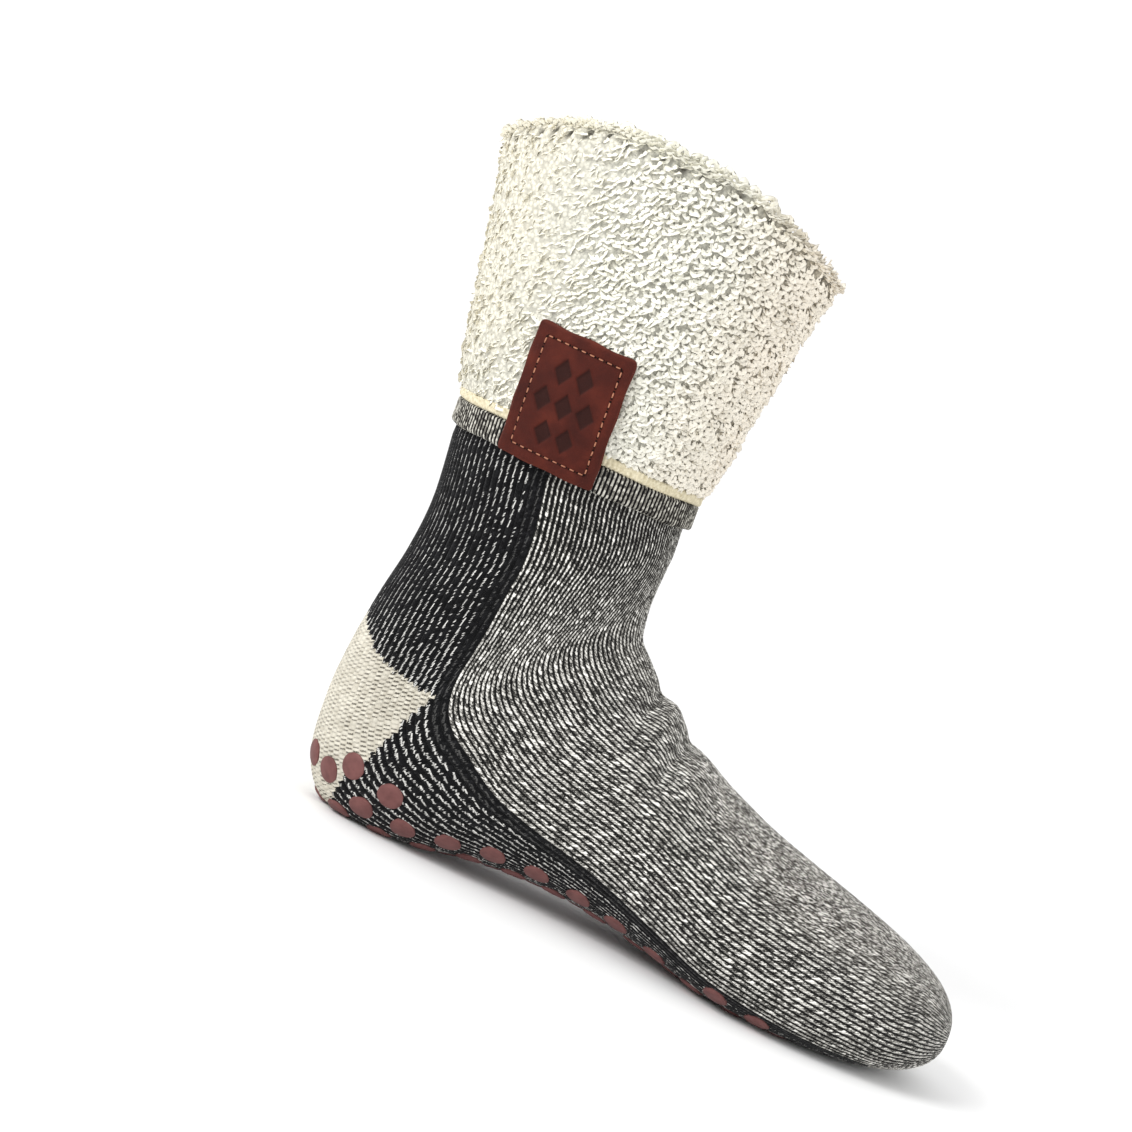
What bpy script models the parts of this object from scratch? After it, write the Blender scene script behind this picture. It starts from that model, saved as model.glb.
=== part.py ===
"""A knitted slipper sock with a turned-down terry cuff, a leather patch and printed grip dots.

The sock stands empty on its sole and keeps the form of the foot that it was worn on. It is
modelled with the back of its heel at x = 0, +X to the toe, +Z up and the floor at z = 0. The
root empty then moves it along X, so that the origin lies below the middle of its box.
Lengths are in metres. Every table below holds shares of the named sizes that it follows.
"""

import math
from collections import namedtuple

import bmesh
import bpy
from mathutils import Vector
from mathutils.bvhtree import BVHTree

# Foot
FOOT_LENGTH = 0.258
BALL_WIDTH = 0.104
INSTEP_HEIGHT = 0.098
ARCH_HEIGHT = 0.0085
TOE_TIP_HEIGHT = 0.020
SOLE_PRESS = 0.0028

# Shaft
HEEL_OVERHANG = 0.0058
ANKLE_DEPTH = 0.088
ANKLE_WIDTH = 0.073
SHAFT_HEIGHT = 0.252
COLLAR_DEPTH = 0.120
COLLAR_WIDTH = 0.112
BACK_FLARE_SHARE = 0.78
RIM_ARCH = 0.014
WALL = 0.003

# Cuff, from the hem up: ribbed welt, bound edging, terry
HEM_HEIGHT = 0.147
HEM_OVER_FAN = 0.0044
WELT_HEIGHT = 0.009
WELT_THICKNESS = 0.0026
EDGING_HEIGHT = 0.0032
EDGING_THICKNESS = 0.0034
TERRY_THICKNESS = 0.0064
FOLD_HEIGHT = 0.0062
TOP_LEAN = 0.32

# Leather patch, on the right side of the cuff
PATCH_WIDTH = 0.037
PATCH_HEIGHT = 0.0425
PATCH_THICKNESS = 0.0018
PATCH_SETBACK = 0.006
PATCH_CORNER = 0.0025

# Grip dots
GRIP_DIAMETER = 0.0098
GRIP_THICKNESS = 0.001
GRIP_PITCH = 0.0168
GRIP_ROW_PITCH = 0.012
GRIP_EDGE = 0.0005
GRIP_ROOT = -0.0015

# Fit and mesh fineness
CLEARANCE = 0.0003
POINTS_ROUND = 32
RING_SPACING = 0.0112
LEVEL_SPACING = 0.0095
GRIP_SIDES = 12
PATCH_STEPS = 8

KNIT_BOTTOM = GRIP_THICKNESS + CLEARANCE
SOLE_BASE = KNIT_BOTTOM - SOLE_PRESS
ANKLE_FRONT = HEEL_OVERHANG + ANKLE_DEPTH
BODY_TOP = SHAFT_HEIGHT - FOLD_HEIGHT
EDGING_BOTTOM = HEM_HEIGHT + WELT_HEIGHT + CLEARANCE
TERRY_BOTTOM = EDGING_BOTTOM + EDGING_HEIGHT + CLEARANCE
FIT = 1.3 * CLEARANCE

# A section runs from its dorsal point, on the instep or shin, to its sole point, on the sole,
# heel or back of the leg. It is widest at its waist, a share of the way up from the sole point.
Section = namedtuple("Section", "dorsal sole half_width waist top_power sole_power")

# Foot sections from the toe tip to the arch. "along" goes from the shin line to the toe tip,
# "sole_along" is a share of the foot length, "top" of the instep height, "arch" of the arch
# height, "toe" of the toe tip height and "width" of the ball width.
FootRow = namedtuple("FootRow", "along sole_along top arch toe width waist top_power sole_power")
FOOT_ROWS = (
    FootRow(1.000, 1.000, 0.204, 0.00, 1.00, 0.000, 0.50, 2.0, 2.0),
    FootRow(0.990, 0.993, 0.285, 0.00, 0.66, 0.152, 0.49, 2.0, 2.1),
    FootRow(0.958, 0.974, 0.350, 0.00, 0.40, 0.254, 0.48, 2.1, 2.2),
    FootRow(0.905, 0.941, 0.405, 0.00, 0.20, 0.342, 0.46, 2.1, 2.3),
    FootRow(0.820, 0.888, 0.460, 0.00, 0.06, 0.420, 0.44, 2.1, 2.5),
    FootRow(0.702, 0.814, 0.515, 0.00, 0.00, 0.477, 0.42, 2.1, 2.7),
    FootRow(0.578, 0.736, 0.568, 0.00, 0.00, 0.500, 0.41, 2.0, 2.8),
    FootRow(0.454, 0.655, 0.625, 0.12, 0.00, 0.483, 0.41, 2.0, 2.7),
    FootRow(0.350, 0.568, 0.692, 0.55, 0.00, 0.443, 0.42, 2.0, 2.4),
    FootRow(0.250, 0.475, 0.762, 0.92, 0.00, 0.408, 0.43, 2.0, 2.3),
    FootRow(0.180, 0.382, 0.842, 1.00, 0.00, 0.387, 0.43, 2.0, 2.3),
)

# Ankle sections fan round the heel. "front" goes from the shin line to the toe tip, "front_z"
# is 1 at the instep height and FAN_TOP_SHARE at the top of the fan, "back_z" is 0 at the floor
# and the same share there, "sole_x" is a share of the foot length, "back_x" of the heel
# overhang and "width" of the ankle width.
AnkleRow = namedtuple("AnkleRow", "front front_z sole_x back_x arch back_z width waist power")
ANKLE_ROWS = (
    AnkleRow(0.112, 0.915, 0.287, 0.00, 0.72, 0.000, 1.060, 0.44, 2.4),
    AnkleRow(0.062, 0.985, 0.202, 0.00, 0.20, 0.000, 1.055, 0.45, 2.6),
    AnkleRow(0.027, 1.050, 0.124, 0.00, 0.00, 0.000, 1.050, 0.46, 2.6),
    AnkleRow(0.011, 1.105, 0.054, 0.00, 0.00, 0.030, 1.040, 0.46, 2.4),
    AnkleRow(0.004, 1.152, 0.014, 0.00, 0.00, 0.165, 1.020, 0.47, 2.2),
    AnkleRow(0.001, 1.198, 0.000, 0.00, 0.00, 0.395, 1.000, 0.47, 2.1),
    AnkleRow(0.000, 1.245, 0.000, 0.02, 0.00, 0.605, 0.995, 0.48, 2.1),
    AnkleRow(0.000, 1.290, 0.000, 0.38, 0.00, 0.815, 0.995, 0.49, 2.1),
    AnkleRow(0.000, 1.338, 0.000, 0.86, 0.00, 1.020, 1.000, 0.50, 2.0),
    AnkleRow(0.000, 1.390, 0.000, 0.96, 0.00, 1.225, 1.025, 0.50, 2.0),
)

# Shaft sections are level. "height" goes from the ankle's last level to the top of the knit,
# "front" and "back" are shares of the flare there, and "width" goes from ankle to collar.
ShaftRow = namedtuple("ShaftRow", "height front back width")
SHAFT_ROWS = (
    ShaftRow(0.00, -0.10, 0.14, 0.13),
    ShaftRow(0.12, -0.28, 0.16, 0.22),
    ShaftRow(0.28, -0.25, 0.28, 0.37),
    ShaftRow(0.46, -0.10, 0.43, 0.54),
    ShaftRow(0.64, 0.18, 0.60, 0.70),
    ShaftRow(0.82, 0.52, 0.78, 0.86),
    ShaftRow(1.00, 1.00, 1.00, 1.00),
)
FAN_TOP_SHARE = 1.455
FAN_TOP = HEM_HEIGHT - HEM_OVER_FAN

# The outer face of the terry: a share of its height and of its thickness.
TerryRow = namedtuple("TerryRow", "height thickness")
TERRY_ROWS = (
    TerryRow(0.00, 0.56),
    TerryRow(0.03, 0.72),
    TerryRow(0.09, 0.88),
    TerryRow(0.20, 1.00),
    TerryRow(0.45, 1.06),
    TerryRow(0.70, 1.04),
    TerryRow(0.90, 1.00),
)
FOLD_STEPS = 6

# Grip dots, a staggered grid. Each pad names its middle, a share of the foot length, and its
# rows: "across" is a row's distance to the left of the middle line, in row pitches, and
# "places" are its dots' places in front of the middle, in dot pitches.
GripRow = namedtuple("GripRow", "across places")
GRIP_PADS = {
    "heel": (
        0.156,
        (
            GripRow(-3.5, (-1, 0)),
            GripRow(-2.5, (-1.5, -0.5, 0.5, 1.5)),
            GripRow(-1.5, (-2, -1, 0, 1)),
            GripRow(-0.5, (-1.5, -0.5, 0.5, 1.5)),
            GripRow(0.5, (-1, 0, 1)),
            GripRow(1.5, (-1.5, -0.5, 0.5, 1.5)),
            GripRow(2.5, (-2, -1, 0, 1)),
            GripRow(3.5, (-0.5, 0.5)),
        ),
    ),
    "ball": (
        0.707,
        (
            GripRow(-3.5, (-0.5, 0.5)),
            GripRow(-2.5, (-1, 0, 1)),
            GripRow(-1.5, (-1.5, -0.5, 0.5, 1.5)),
            GripRow(-0.5, (-1, 0, 1)),
            GripRow(0.5, (-1.5, -0.5, 0.5, 1.5)),
            GripRow(1.5, (-1, 0, 1)),
            GripRow(2.5, (-0.5, 0.5, 1.5)),
            GripRow(3.5, (0, 1)),
        ),
    ),
}


def clear_scene():
    for item in list(bpy.data.objects):
        bpy.data.objects.remove(item, do_unlink=True)


def finish_material(name, colour, roughness):
    """A Principled material of one colour, given in linear RGB."""
    material = bpy.data.materials.new(name)
    material.use_nodes = True
    shader = material.node_tree.nodes["Principled BSDF"]
    shader.inputs["Base Color"].default_value = (*colour, 1.0)
    shader.inputs["Roughness"].default_value = roughness
    shader.inputs["Metallic"].default_value = 0.0
    material.diffuse_color = (*colour, 1.0)
    return material


def blend(low, high, share):
    return low + (high - low) * share


def ease(share):
    """A smooth step from 0 to 1."""
    share = min(max(share, 0.0), 1.0)
    return share * share * (3 - 2 * share)


def foot_section(row):
    dorsal = (blend(ANKLE_FRONT, FOOT_LENGTH, row.along), INSTEP_HEIGHT * row.top)
    lift = ARCH_HEIGHT * row.arch + (TOE_TIP_HEIGHT - SOLE_BASE) * row.toe
    sole = (FOOT_LENGTH * row.sole_along, SOLE_BASE + lift)
    half_width = BALL_WIDTH * row.width
    return Section(dorsal, sole, half_width, row.waist, row.top_power, row.sole_power)


def ankle_section(row):
    rise = (row.front_z - 1) / (FAN_TOP_SHARE - 1)
    front_z = blend(INSTEP_HEIGHT, FAN_TOP, rise) if rise > 0 else INSTEP_HEIGHT * row.front_z
    dorsal = (blend(ANKLE_FRONT, FOOT_LENGTH, row.front), front_z)
    sole = (
        FOOT_LENGTH * row.sole_x + HEEL_OVERHANG * row.back_x,
        SOLE_BASE + ARCH_HEIGHT * row.arch + FAN_TOP * row.back_z / FAN_TOP_SHARE,
    )
    half_width = ANKLE_WIDTH / 2 * row.width
    return Section(dorsal, sole, half_width, row.waist, 2.0, row.power)


def shaft_section(row):
    flare = COLLAR_DEPTH - ANKLE_DEPTH
    level = blend(FAN_TOP, BODY_TOP, row.height)
    front = ANKLE_FRONT + flare * (1 - BACK_FLARE_SHARE) * row.front
    back = HEEL_OVERHANG - flare * BACK_FLARE_SHARE * row.back
    half_width = blend(ANKLE_WIDTH, COLLAR_WIDTH, row.width) / 2
    return Section((front, level), (back, level), half_width, 0.5, 2.0, 2.0)


def as_numbers(section):
    return (*section.dorsal, *section.sole, *section[2:])


def as_section(numbers):
    return Section(tuple(numbers[:2]), tuple(numbers[2:4]), *numbers[4:])


def section_between(sections, place):
    """The section at a fractional place in the list, on a smooth curve through the rows."""
    last = len(sections) - 1
    first = min(int(place), last - 1)
    share = place - first
    rows = [as_numbers(sections[min(max(first + k, 0), last)]) for k in (-1, 0, 1, 2)]
    found = []
    for before, start, end, after in zip(*rows):
        if first == 0:
            before = start
        slope_in, slope_out = (end - before) / 2, (after - start) / 2
        cube, square = share**3, share**2
        found.append(
            (2 * cube - 3 * square + 1) * start
            + (cube - 2 * square + share) * slope_in
            + (3 * square - 2 * cube) * end
            + (cube - square) * slope_out
        )
    return as_section(found)


def section_gap(one, other):
    """How far apart two sections lie, at their dorsal or sole points, whichever is more."""
    return max(math.dist(one.dorsal, other.dorsal), math.dist(one.sole, other.sole))


def spaced_sections(rows, spacing):
    """Sections about one spacing apart along the smooth curve through the rows."""
    fine_steps = 24
    places = [k / fine_steps for k in range((len(rows) - 1) * fine_steps + 1)]
    fine = [section_between(rows, place) for place in places]
    lengths = [0.0]
    for one, other in zip(fine, fine[1:]):
        lengths.append(lengths[-1] + section_gap(one, other))
    count = max(2, round(lengths[-1] / spacing))
    found, k = [fine[0]], 0
    for step in range(1, count):
        while lengths[k] < lengths[-1] * step / count:
            k += 1
        found.append(fine[k])
    return [*found, fine[-1]]


def half_outline(section, power, height, side, count):
    """Evenly spaced (across, up) points of a half section, from its ridge to its waist."""
    fine_steps = 96
    fine = []
    for k in range(fine_steps + 1):
        angle = math.pi / 2 * k / fine_steps
        across = section.half_width * math.sin(angle) ** (2 / power)
        fine.append((across, side * height * max(math.cos(angle), 0.0) ** (2 / power)))
    lengths = [0.0]
    for one, other in zip(fine, fine[1:]):
        lengths.append(lengths[-1] + math.dist(one, other))
    found, k = [], 0
    for step in range(count):
        target = lengths[-1] * step / count
        while k < fine_steps - 1 and lengths[k + 1] < target:
            k += 1
        stretch = max(lengths[k + 1] - lengths[k], 1e-12)
        share = (target - lengths[k]) / stretch
        found.append(tuple(blend(a, b, share) for a, b in zip(fine[k], fine[k + 1])))
    return [*found, (section.half_width, 0.0)]


def outline(section):
    """(across, up) points round a section from its waist, with the instep or shin halfway."""
    quarter = POINTS_ROUND // 4
    depth = math.dist(section.dorsal, section.sole)
    top = half_outline(section, section.top_power, depth * (1 - section.waist), 1, quarter)
    sole = half_outline(section, section.sole_power, depth * section.waist, -1, quarter)
    right_top, right_sole = top[::-1], sole[:0:-1]
    left_top = [(-across, up) for across, up in top[1:]]
    left_sole = [(-across, up) for across, up in sole[-2:0:-1]]
    return [*right_top, *left_top, *left_sole, sole[0], *right_sole[::-1][:-1]]


def rim_arch(across, half_width, level):
    """How much higher the shaft stands at its sides than at its shin and back."""
    if half_width <= 0 or level <= HEM_HEIGHT:
        return 0.0
    rise = ease((level - HEM_HEIGHT) / (SHAFT_HEIGHT - HEM_HEIGHT))
    return RIM_ARCH * rise * min(abs(across) / half_width, 1.0) ** 2


def ring(section, offset=0.0, lift=0.0):
    """The points of one section in space, pushed outwards by an offset."""
    sole, dorsal = Vector((section.sole[0], 0, section.sole[1])), section.dorsal
    upward = Vector((dorsal[0], 0, dorsal[1])) - sole
    depth = upward.length
    upward = upward.normalized() if depth else Vector((0, 0, 1))
    centre = sole + upward * depth * section.waist
    flat = outline(section)
    points = []
    for k, (across, up) in enumerate(flat):
        before, after = flat[k - 1], flat[(k + 1) % len(flat)]
        normal = Vector((after[1] - before[1], before[0] - after[0], 0))
        if offset and normal.length > 1e-5:
            normal.normalize()
            pushed = (across + normal.x * offset, up + normal.y * offset)
        else:
            pushed = (across, up)
        point = centre + upward * pushed[1] - Vector((0, pushed[0], 0))
        point.z += rim_arch(across, section.half_width, section.sole[1]) + lift
        point.z = max(point.z, KNIT_BOTTOM - offset)
        points.append(point)
    return points


def shaft_sections():
    return [shaft_section(row) for row in SHAFT_ROWS]


def level_section(level):
    """The shaft's section at a height; above the top of the knit it is the topmost one."""
    rows = shaft_sections()
    if level >= BODY_TOP:
        return rows[-1]
    heights = [row.sole[1] for row in rows]
    low, high = 0.0, len(rows) - 1.0
    for _ in range(40):
        middle = (low + high) / 2
        if section_between(rows, middle).sole[1] < level:
            low = middle
        else:
            high = middle
    return section_between(rows, low) if level > heights[0] else rows[0]


def shaft_levels():
    """The heights of the knit's rings under the cuff, which the cuff's inner face shares."""
    start = HEM_HEIGHT
    count = max(2, round((BODY_TOP - start) / LEVEL_SPACING))
    return [blend(start, BODY_TOP, k / count) for k in range(count + 1)]


def cuff_ring(level, offset):
    """A ring round the shaft at a height, at an offset from the face of the knit."""
    section = level_section(min(level, BODY_TOP))
    return ring(section, offset, max(level - BODY_TOP, 0.0) if level > BODY_TOP else 0.0)


def new_object(name, mesh, material, root):
    body = bpy.data.objects.new(name, mesh)
    bpy.data.collections["slipper_sock"].objects.link(body)
    body.data.materials.append(material)
    body.parent = root
    return body


def hide_cutter(name, mesh, root):
    """A helper that cuts other pieces and isn't one itself."""
    cutter = bpy.data.objects.new(name, mesh)
    bpy.data.collections["cutters"].objects.link(cutter)
    cutter.hide_render = True
    cutter.display_type = "WIRE"
    cutter.parent = root
    return cutter


def finished_mesh(name, shape):
    """A mesh from a bmesh, shaded smooth away from its sharp edges."""
    bmesh.ops.recalc_face_normals(shape, faces=shape.faces)
    if shape.calc_volume(signed=True) < 0:
        bmesh.ops.reverse_faces(shape, faces=shape.faces)
    mesh = bpy.data.meshes.new(name)
    shape.to_mesh(mesh)
    shape.free()
    mesh.shade_smooth()
    mesh.set_sharp_from_angle(angle=math.radians(50))
    return mesh


def loft(name, rings, closed=False, capped=False):
    """A skin over rings of equal count. A closed one joins its last ring to its first."""
    shape = bmesh.new()
    loops = [[shape.verts.new(point) for point in points] for points in rings]
    pairs = list(zip(loops, loops[1:]))
    if closed:
        pairs.append((loops[-1], loops[0]))
    for one, other in pairs:
        for k in range(len(one)):
            after = (k + 1) % len(one)
            corners = [one[k], one[after], other[after], other[k]]
            shape.faces.new(corners)
    if capped:
        shape.faces.new(loops[-1])
    bmesh.ops.remove_doubles(shape, verts=shape.verts, dist=1e-5)
    bmesh.ops.triangulate(shape, faces=shape.faces, quad_method="FIXED")
    return finished_mesh(name, shape)


def lower_sections():
    """The sections of toe, foot, heel and ankle, as far up as the leg's first level one."""
    rows = [foot_section(row) for row in FOOT_ROWS]
    rows += [ankle_section(row) for row in ANKLE_ROWS]
    rows.append(shaft_section(SHAFT_ROWS[0]))
    return spaced_sections(rows, RING_SPACING)


def knit_body(material, root):
    """Leg, heel pocket, sole and toe, knitted whole: an open skin with the wall inside it."""
    rings = [ring(section) for section in lower_sections()]
    rings += [cuff_ring(level, 0.0) for level in shaft_levels()]
    body = new_object("knit_body", loft("knit_body", rings), material, root)
    wall = body.modifiers.new("wall", "SOLIDIFY")
    wall.thickness = WALL
    wall.offset = -1.0
    wall.use_even_offset = True
    wall.use_quality_normals = True
    return body


def band(name, profile, material, root):
    """A closed band round the shaft from its (offset, level) profile."""
    rings = [cuff_ring(level, offset) for offset, level in profile]
    return new_object(name, loft(name, rings, closed=True), material, root)


def welt(material, root):
    """The ribbed end of the turned-down top, with eased outer corners."""
    low, high = HEM_HEIGHT, HEM_HEIGHT + WELT_HEIGHT
    inner, outer = CLEARANCE, CLEARANCE + WELT_THICKNESS
    ease_by = WELT_THICKNESS * 0.4
    profile = (
        (inner, low),
        (outer - ease_by, low),
        (outer, low + ease_by),
        (outer, high - ease_by),
        (outer - ease_by, high),
        (inner, high),
    )
    return band("cuff_welt", profile, material, root)


def edging(material, root):
    """The bound edge between welt and terry, a rounded bead."""
    low, high = EDGING_BOTTOM, EDGING_BOTTOM + EDGING_HEIGHT
    inner, outer = CLEARANCE, CLEARANCE + EDGING_THICKNESS
    shoulder = EDGING_THICKNESS * 0.35
    profile = (
        (inner, low),
        (outer - shoulder, low),
        (outer, blend(low, high, 0.3)),
        (outer, blend(low, high, 0.7)),
        (outer - shoulder, high),
        (inner, high),
    )
    return band("cuff_edging", profile, material, root)


def terry_cuff(material, root):
    """The terry turned down over the top of the knit, with its fold as the rim."""
    height = BODY_TOP - TERRY_BOTTOM
    reach = CLEARANCE + TERRY_THICKNESS * TERRY_ROWS[-1].thickness
    outer = [
        (CLEARANCE + TERRY_THICKNESS * row.thickness, TERRY_BOTTOM + height * row.height)
        for row in TERRY_ROWS
    ]
    middle, half = (reach - WALL) / 2, (reach + WALL) / 2
    spring = BODY_TOP + CLEARANCE
    rise = SHAFT_HEIGHT - spring
    fold = []
    for k in range(FOLD_STEPS + 1):
        turn = math.pi * k / FOLD_STEPS
        fold.append((middle + half * math.cos(turn), spring + rise * math.sin(turn)))
    fold[-1] = (-WALL, spring + WALL * TOP_LEAN)
    inner_levels = [level for level in shaft_levels() if level > TERRY_BOTTOM + CLEARANCE]
    inner = [(FIT, spring)]
    inner += [(FIT, level) for level in reversed(inner_levels)]
    inner.append((FIT, TERRY_BOTTOM))
    return band("terry_cuff", [*outer, *fold, *inner], material, root)


def cuff_face(level):
    """How far the cuff's outer face stands from the knit at a height."""
    if level < EDGING_BOTTOM:
        return CLEARANCE + WELT_THICKNESS
    if level < TERRY_BOTTOM:
        return CLEARANCE + max(EDGING_THICKNESS, WELT_THICKNESS)
    share = (level - TERRY_BOTTOM) / (BODY_TOP - TERRY_BOTTOM)
    for low, high in zip(TERRY_ROWS, TERRY_ROWS[1:]):
        if share <= high.height:
            part = (share - low.height) / (high.height - low.height)
            return CLEARANCE + TERRY_THICKNESS * blend(low.thickness, high.thickness, part)
    return CLEARANCE + TERRY_THICKNESS


def patch_stand_off(level):
    """The patch bridges the steps of the cuff: it clears the fullest face close above it."""
    reach = PATCH_HEIGHT / PATCH_STEPS
    return CLEARANCE + max(cuff_face(level + reach * k / 4) for k in range(-2, 5))


def side_point(level, along, offset):
    """A point on the right side of the shaft, a signed arc length in front of its side line."""
    points = cuff_ring(level, offset)
    quarter = POINTS_ROUND // 4
    arc, k = abs(along), 0
    step = 1 if along > 0 else -1
    here = points[0]
    while k < quarter:
        k += 1
        there = points[step * k]
        length = (there - here).length
        if arc <= length:
            return here.lerp(there, arc / length)
        arc -= length
        here = there
    return here


def leather_patch(material, root):
    """A leather rectangle with eased corners, laid on the cuff and given its thickness."""
    shape = bmesh.new()
    bmesh.ops.create_grid(shape, x_segments=PATCH_STEPS, y_segments=PATCH_STEPS, size=0.5)
    for vertex in shape.verts:
        share_x, share_z = vertex.co.x, vertex.co.y
        if abs(share_x) > 0.49 and abs(share_z) > 0.49:
            share_x -= math.copysign(0.3 * PATCH_CORNER / PATCH_WIDTH, share_x)
            share_z -= math.copysign(0.3 * PATCH_CORNER / PATCH_HEIGHT, share_z)
        level = HEM_HEIGHT + PATCH_HEIGHT * (share_z + 0.5)
        along = PATCH_WIDTH * share_x - PATCH_SETBACK
        vertex.co = side_point(level, along, patch_stand_off(level))
    mesh = finished_mesh("leather_patch", shape)
    outward = sum(face.normal.y * face.area for face in mesh.polygons)
    if outward > 0:
        mesh.flip_normals()
    patch = new_object("leather_patch", mesh, material, root)
    wall = patch.modifiers.new("leather", "SOLIDIFY")
    wall.thickness = PATCH_THICKNESS
    wall.offset = 1.0
    return patch


def sole_place(skin, x, across):
    """The point and normal of the skin at x, an arc length across from the middle line."""
    pivot = Vector((x, 0, TOE_TIP_HEIGHT))
    side = math.copysign(1, across)
    hit, normal, _, _ = skin.ray_cast(pivot, Vector((0, 0, -1)))
    arc, steps = abs(across), 180
    for k in range(1, steps):
        turn = math.radians(150) * k / steps
        there = skin.ray_cast(pivot, Vector((0, side * math.sin(turn), -math.cos(turn))))
        length = (there[0] - hit).length
        if arc <= length:
            share = arc / length if length else 0.0
            return hit.lerp(there[0], share), normal.lerp(there[1], share).normalized()
        arc -= length
        hit, normal = there[0], there[1]
    return hit, normal


def grip_dot(name, skin, x, across, material, root):
    """A printed dot that follows the knit, flat where it meets the floor."""
    place, normal = sole_place(skin, x, across)
    if normal.dot(place - Vector((x, 0, TOE_TIP_HEIGHT))) < 0:
        normal = -normal
    turn = normal.to_track_quat("Z", "X")
    shape = bmesh.new()
    bmesh.ops.create_cone(
        shape,
        cap_ends=True,
        cap_tris=True,
        segments=GRIP_SIDES,
        radius1=GRIP_DIAMETER / 2,
        radius2=GRIP_DIAMETER / 2 - GRIP_EDGE,
        depth=GRIP_THICKNESS,
    )
    for vertex in shape.verts:
        spot = place + turn @ Vector((vertex.co.x, vertex.co.y, 0))
        height = GRIP_ROOT if vertex.co.z < 0 else CLEARANCE + GRIP_THICKNESS
        hit = skin.ray_cast(spot + normal * GRIP_DIAMETER, -normal, 3 * GRIP_DIAMETER)
        if hit[0] is None:
            hit = skin.find_nearest(spot)
        outward = hit[1] if hit[1].dot(normal) > 0 else -hit[1]
        vertex.co = hit[0] + normal.lerp(outward, 0.5).normalized() * height
        vertex.co.z = max(vertex.co.z, 0.0)
    return new_object(name, finished_mesh(name, shape), material, root)


def grip_dots(knit, material, root):
    """The dots of both pads, each cut to fit by the face of the knit."""
    skin = BVHTree.FromPolygons(
        [vertex.co for vertex in knit.data.vertices],
        [tuple(face.vertices) for face in knit.data.polygons],
    )
    face = loft("knit_face", [ring(section) for section in lower_sections()], capped=True)
    outwards = [vertex.normal.copy() for vertex in face.vertices]
    for vertex, outward in zip(face.vertices, outwards):
        vertex.co += outward * CLEARANCE
    cutter = hide_cutter("knit_face", face, root)
    for pad, (middle, rows) in GRIP_PADS.items():
        spots = [(row.across, place) for row in rows for place in row.places]
        for number, (across, place) in enumerate(spots, 1):
            name = f"grip_{pad}_{number:02d}"
            x = FOOT_LENGTH * middle + GRIP_PITCH * place
            dot = grip_dot(name, skin, x, across * GRIP_ROW_PITCH, material, root)
            fit = dot.modifiers.new("fit", "BOOLEAN")
            fit.operation = "DIFFERENCE"
            fit.solver = "EXACT"
            fit.object = cutter


def centre_root(root, first, last):
    """Moves the root so that the origin lies below the middle of the object's length."""
    low = min(vertex.co.x for vertex in first.data.vertices)
    high = max(vertex.co.x for vertex in last.data.vertices)
    root.location.x = -(low + high) / 2


def main():
    clear_scene()
    group = bpy.data.collections.new("slipper_sock")
    bpy.context.scene.collection.children.link(group)
    helpers = bpy.data.collections.new("cutters")
    helpers.hide_render = True
    bpy.context.scene.collection.children.link(helpers)
    root = bpy.data.objects.new("sock_root", None)
    group.objects.link(root)

    knit = finish_material("marled_wool_knit", (0.115, 0.112, 0.105), 0.95)
    rib = finish_material("ribbed_wool_welt", (0.16, 0.155, 0.145), 0.95)
    cream = finish_material("cream_elastic_binding", (0.72, 0.64, 0.44), 0.9)
    terry = finish_material("cream_wool_terry", (0.74, 0.71, 0.60), 0.97)
    leather = finish_material("brown_leather", (0.155, 0.042, 0.022), 0.55)
    silicone = finish_material("brown_silicone_print", (0.17, 0.075, 0.062), 0.6)

    body = knit_body(knit, root)
    welt(rib, root)
    edging(cream, root)
    cuff = terry_cuff(terry, root)
    leather_patch(leather, root)
    grip_dots(body, silicone, root)
    centre_root(root, cuff, body)


main()
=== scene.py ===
"""Looks of the knitted slipper sock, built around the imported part.

Lengths are in metres in the shoe's own frame, with the back of the heel at x = 0 and +X to the
toe. placed_object() then moves every mesh by SHIFT along X into the part's frame.
"""

import math
from collections import namedtuple

import bmesh
import bpy
import numpy as np
from mathutils import Matrix, Vector
from mathutils.bvhtree import BVHTree


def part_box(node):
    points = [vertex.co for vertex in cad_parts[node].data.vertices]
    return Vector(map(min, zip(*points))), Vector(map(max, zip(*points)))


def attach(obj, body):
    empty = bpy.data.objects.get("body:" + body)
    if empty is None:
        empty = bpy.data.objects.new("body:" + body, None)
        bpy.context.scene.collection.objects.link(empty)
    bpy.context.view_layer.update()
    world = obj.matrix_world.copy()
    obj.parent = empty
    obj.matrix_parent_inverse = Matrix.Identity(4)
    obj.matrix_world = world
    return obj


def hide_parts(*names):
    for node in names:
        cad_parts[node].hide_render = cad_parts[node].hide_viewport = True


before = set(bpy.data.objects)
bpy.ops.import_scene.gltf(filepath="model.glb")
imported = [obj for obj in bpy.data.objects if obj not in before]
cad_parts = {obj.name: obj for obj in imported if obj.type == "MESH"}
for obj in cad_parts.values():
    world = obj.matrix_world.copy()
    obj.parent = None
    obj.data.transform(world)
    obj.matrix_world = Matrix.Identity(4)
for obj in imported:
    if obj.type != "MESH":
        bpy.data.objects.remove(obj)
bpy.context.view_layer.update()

MM = 0.001

# Foot
FOOT_LENGTH = 0.258
BALL_WIDTH = 0.104
INSTEP_HEIGHT = 0.098
ARCH_HEIGHT = 0.0085
TOE_TIP_HEIGHT = 0.020
SOLE_PRESS = 0.0028

# Shaft
HEEL_OVERHANG = 0.0058
ANKLE_DEPTH = 0.088
ANKLE_WIDTH = 0.073
SHAFT_HEIGHT = 0.252
COLLAR_DEPTH = 0.120
COLLAR_WIDTH = 0.112
BACK_FLARE_SHARE = 0.78
RIM_ARCH = 0.014
WALL = 0.003

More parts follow.
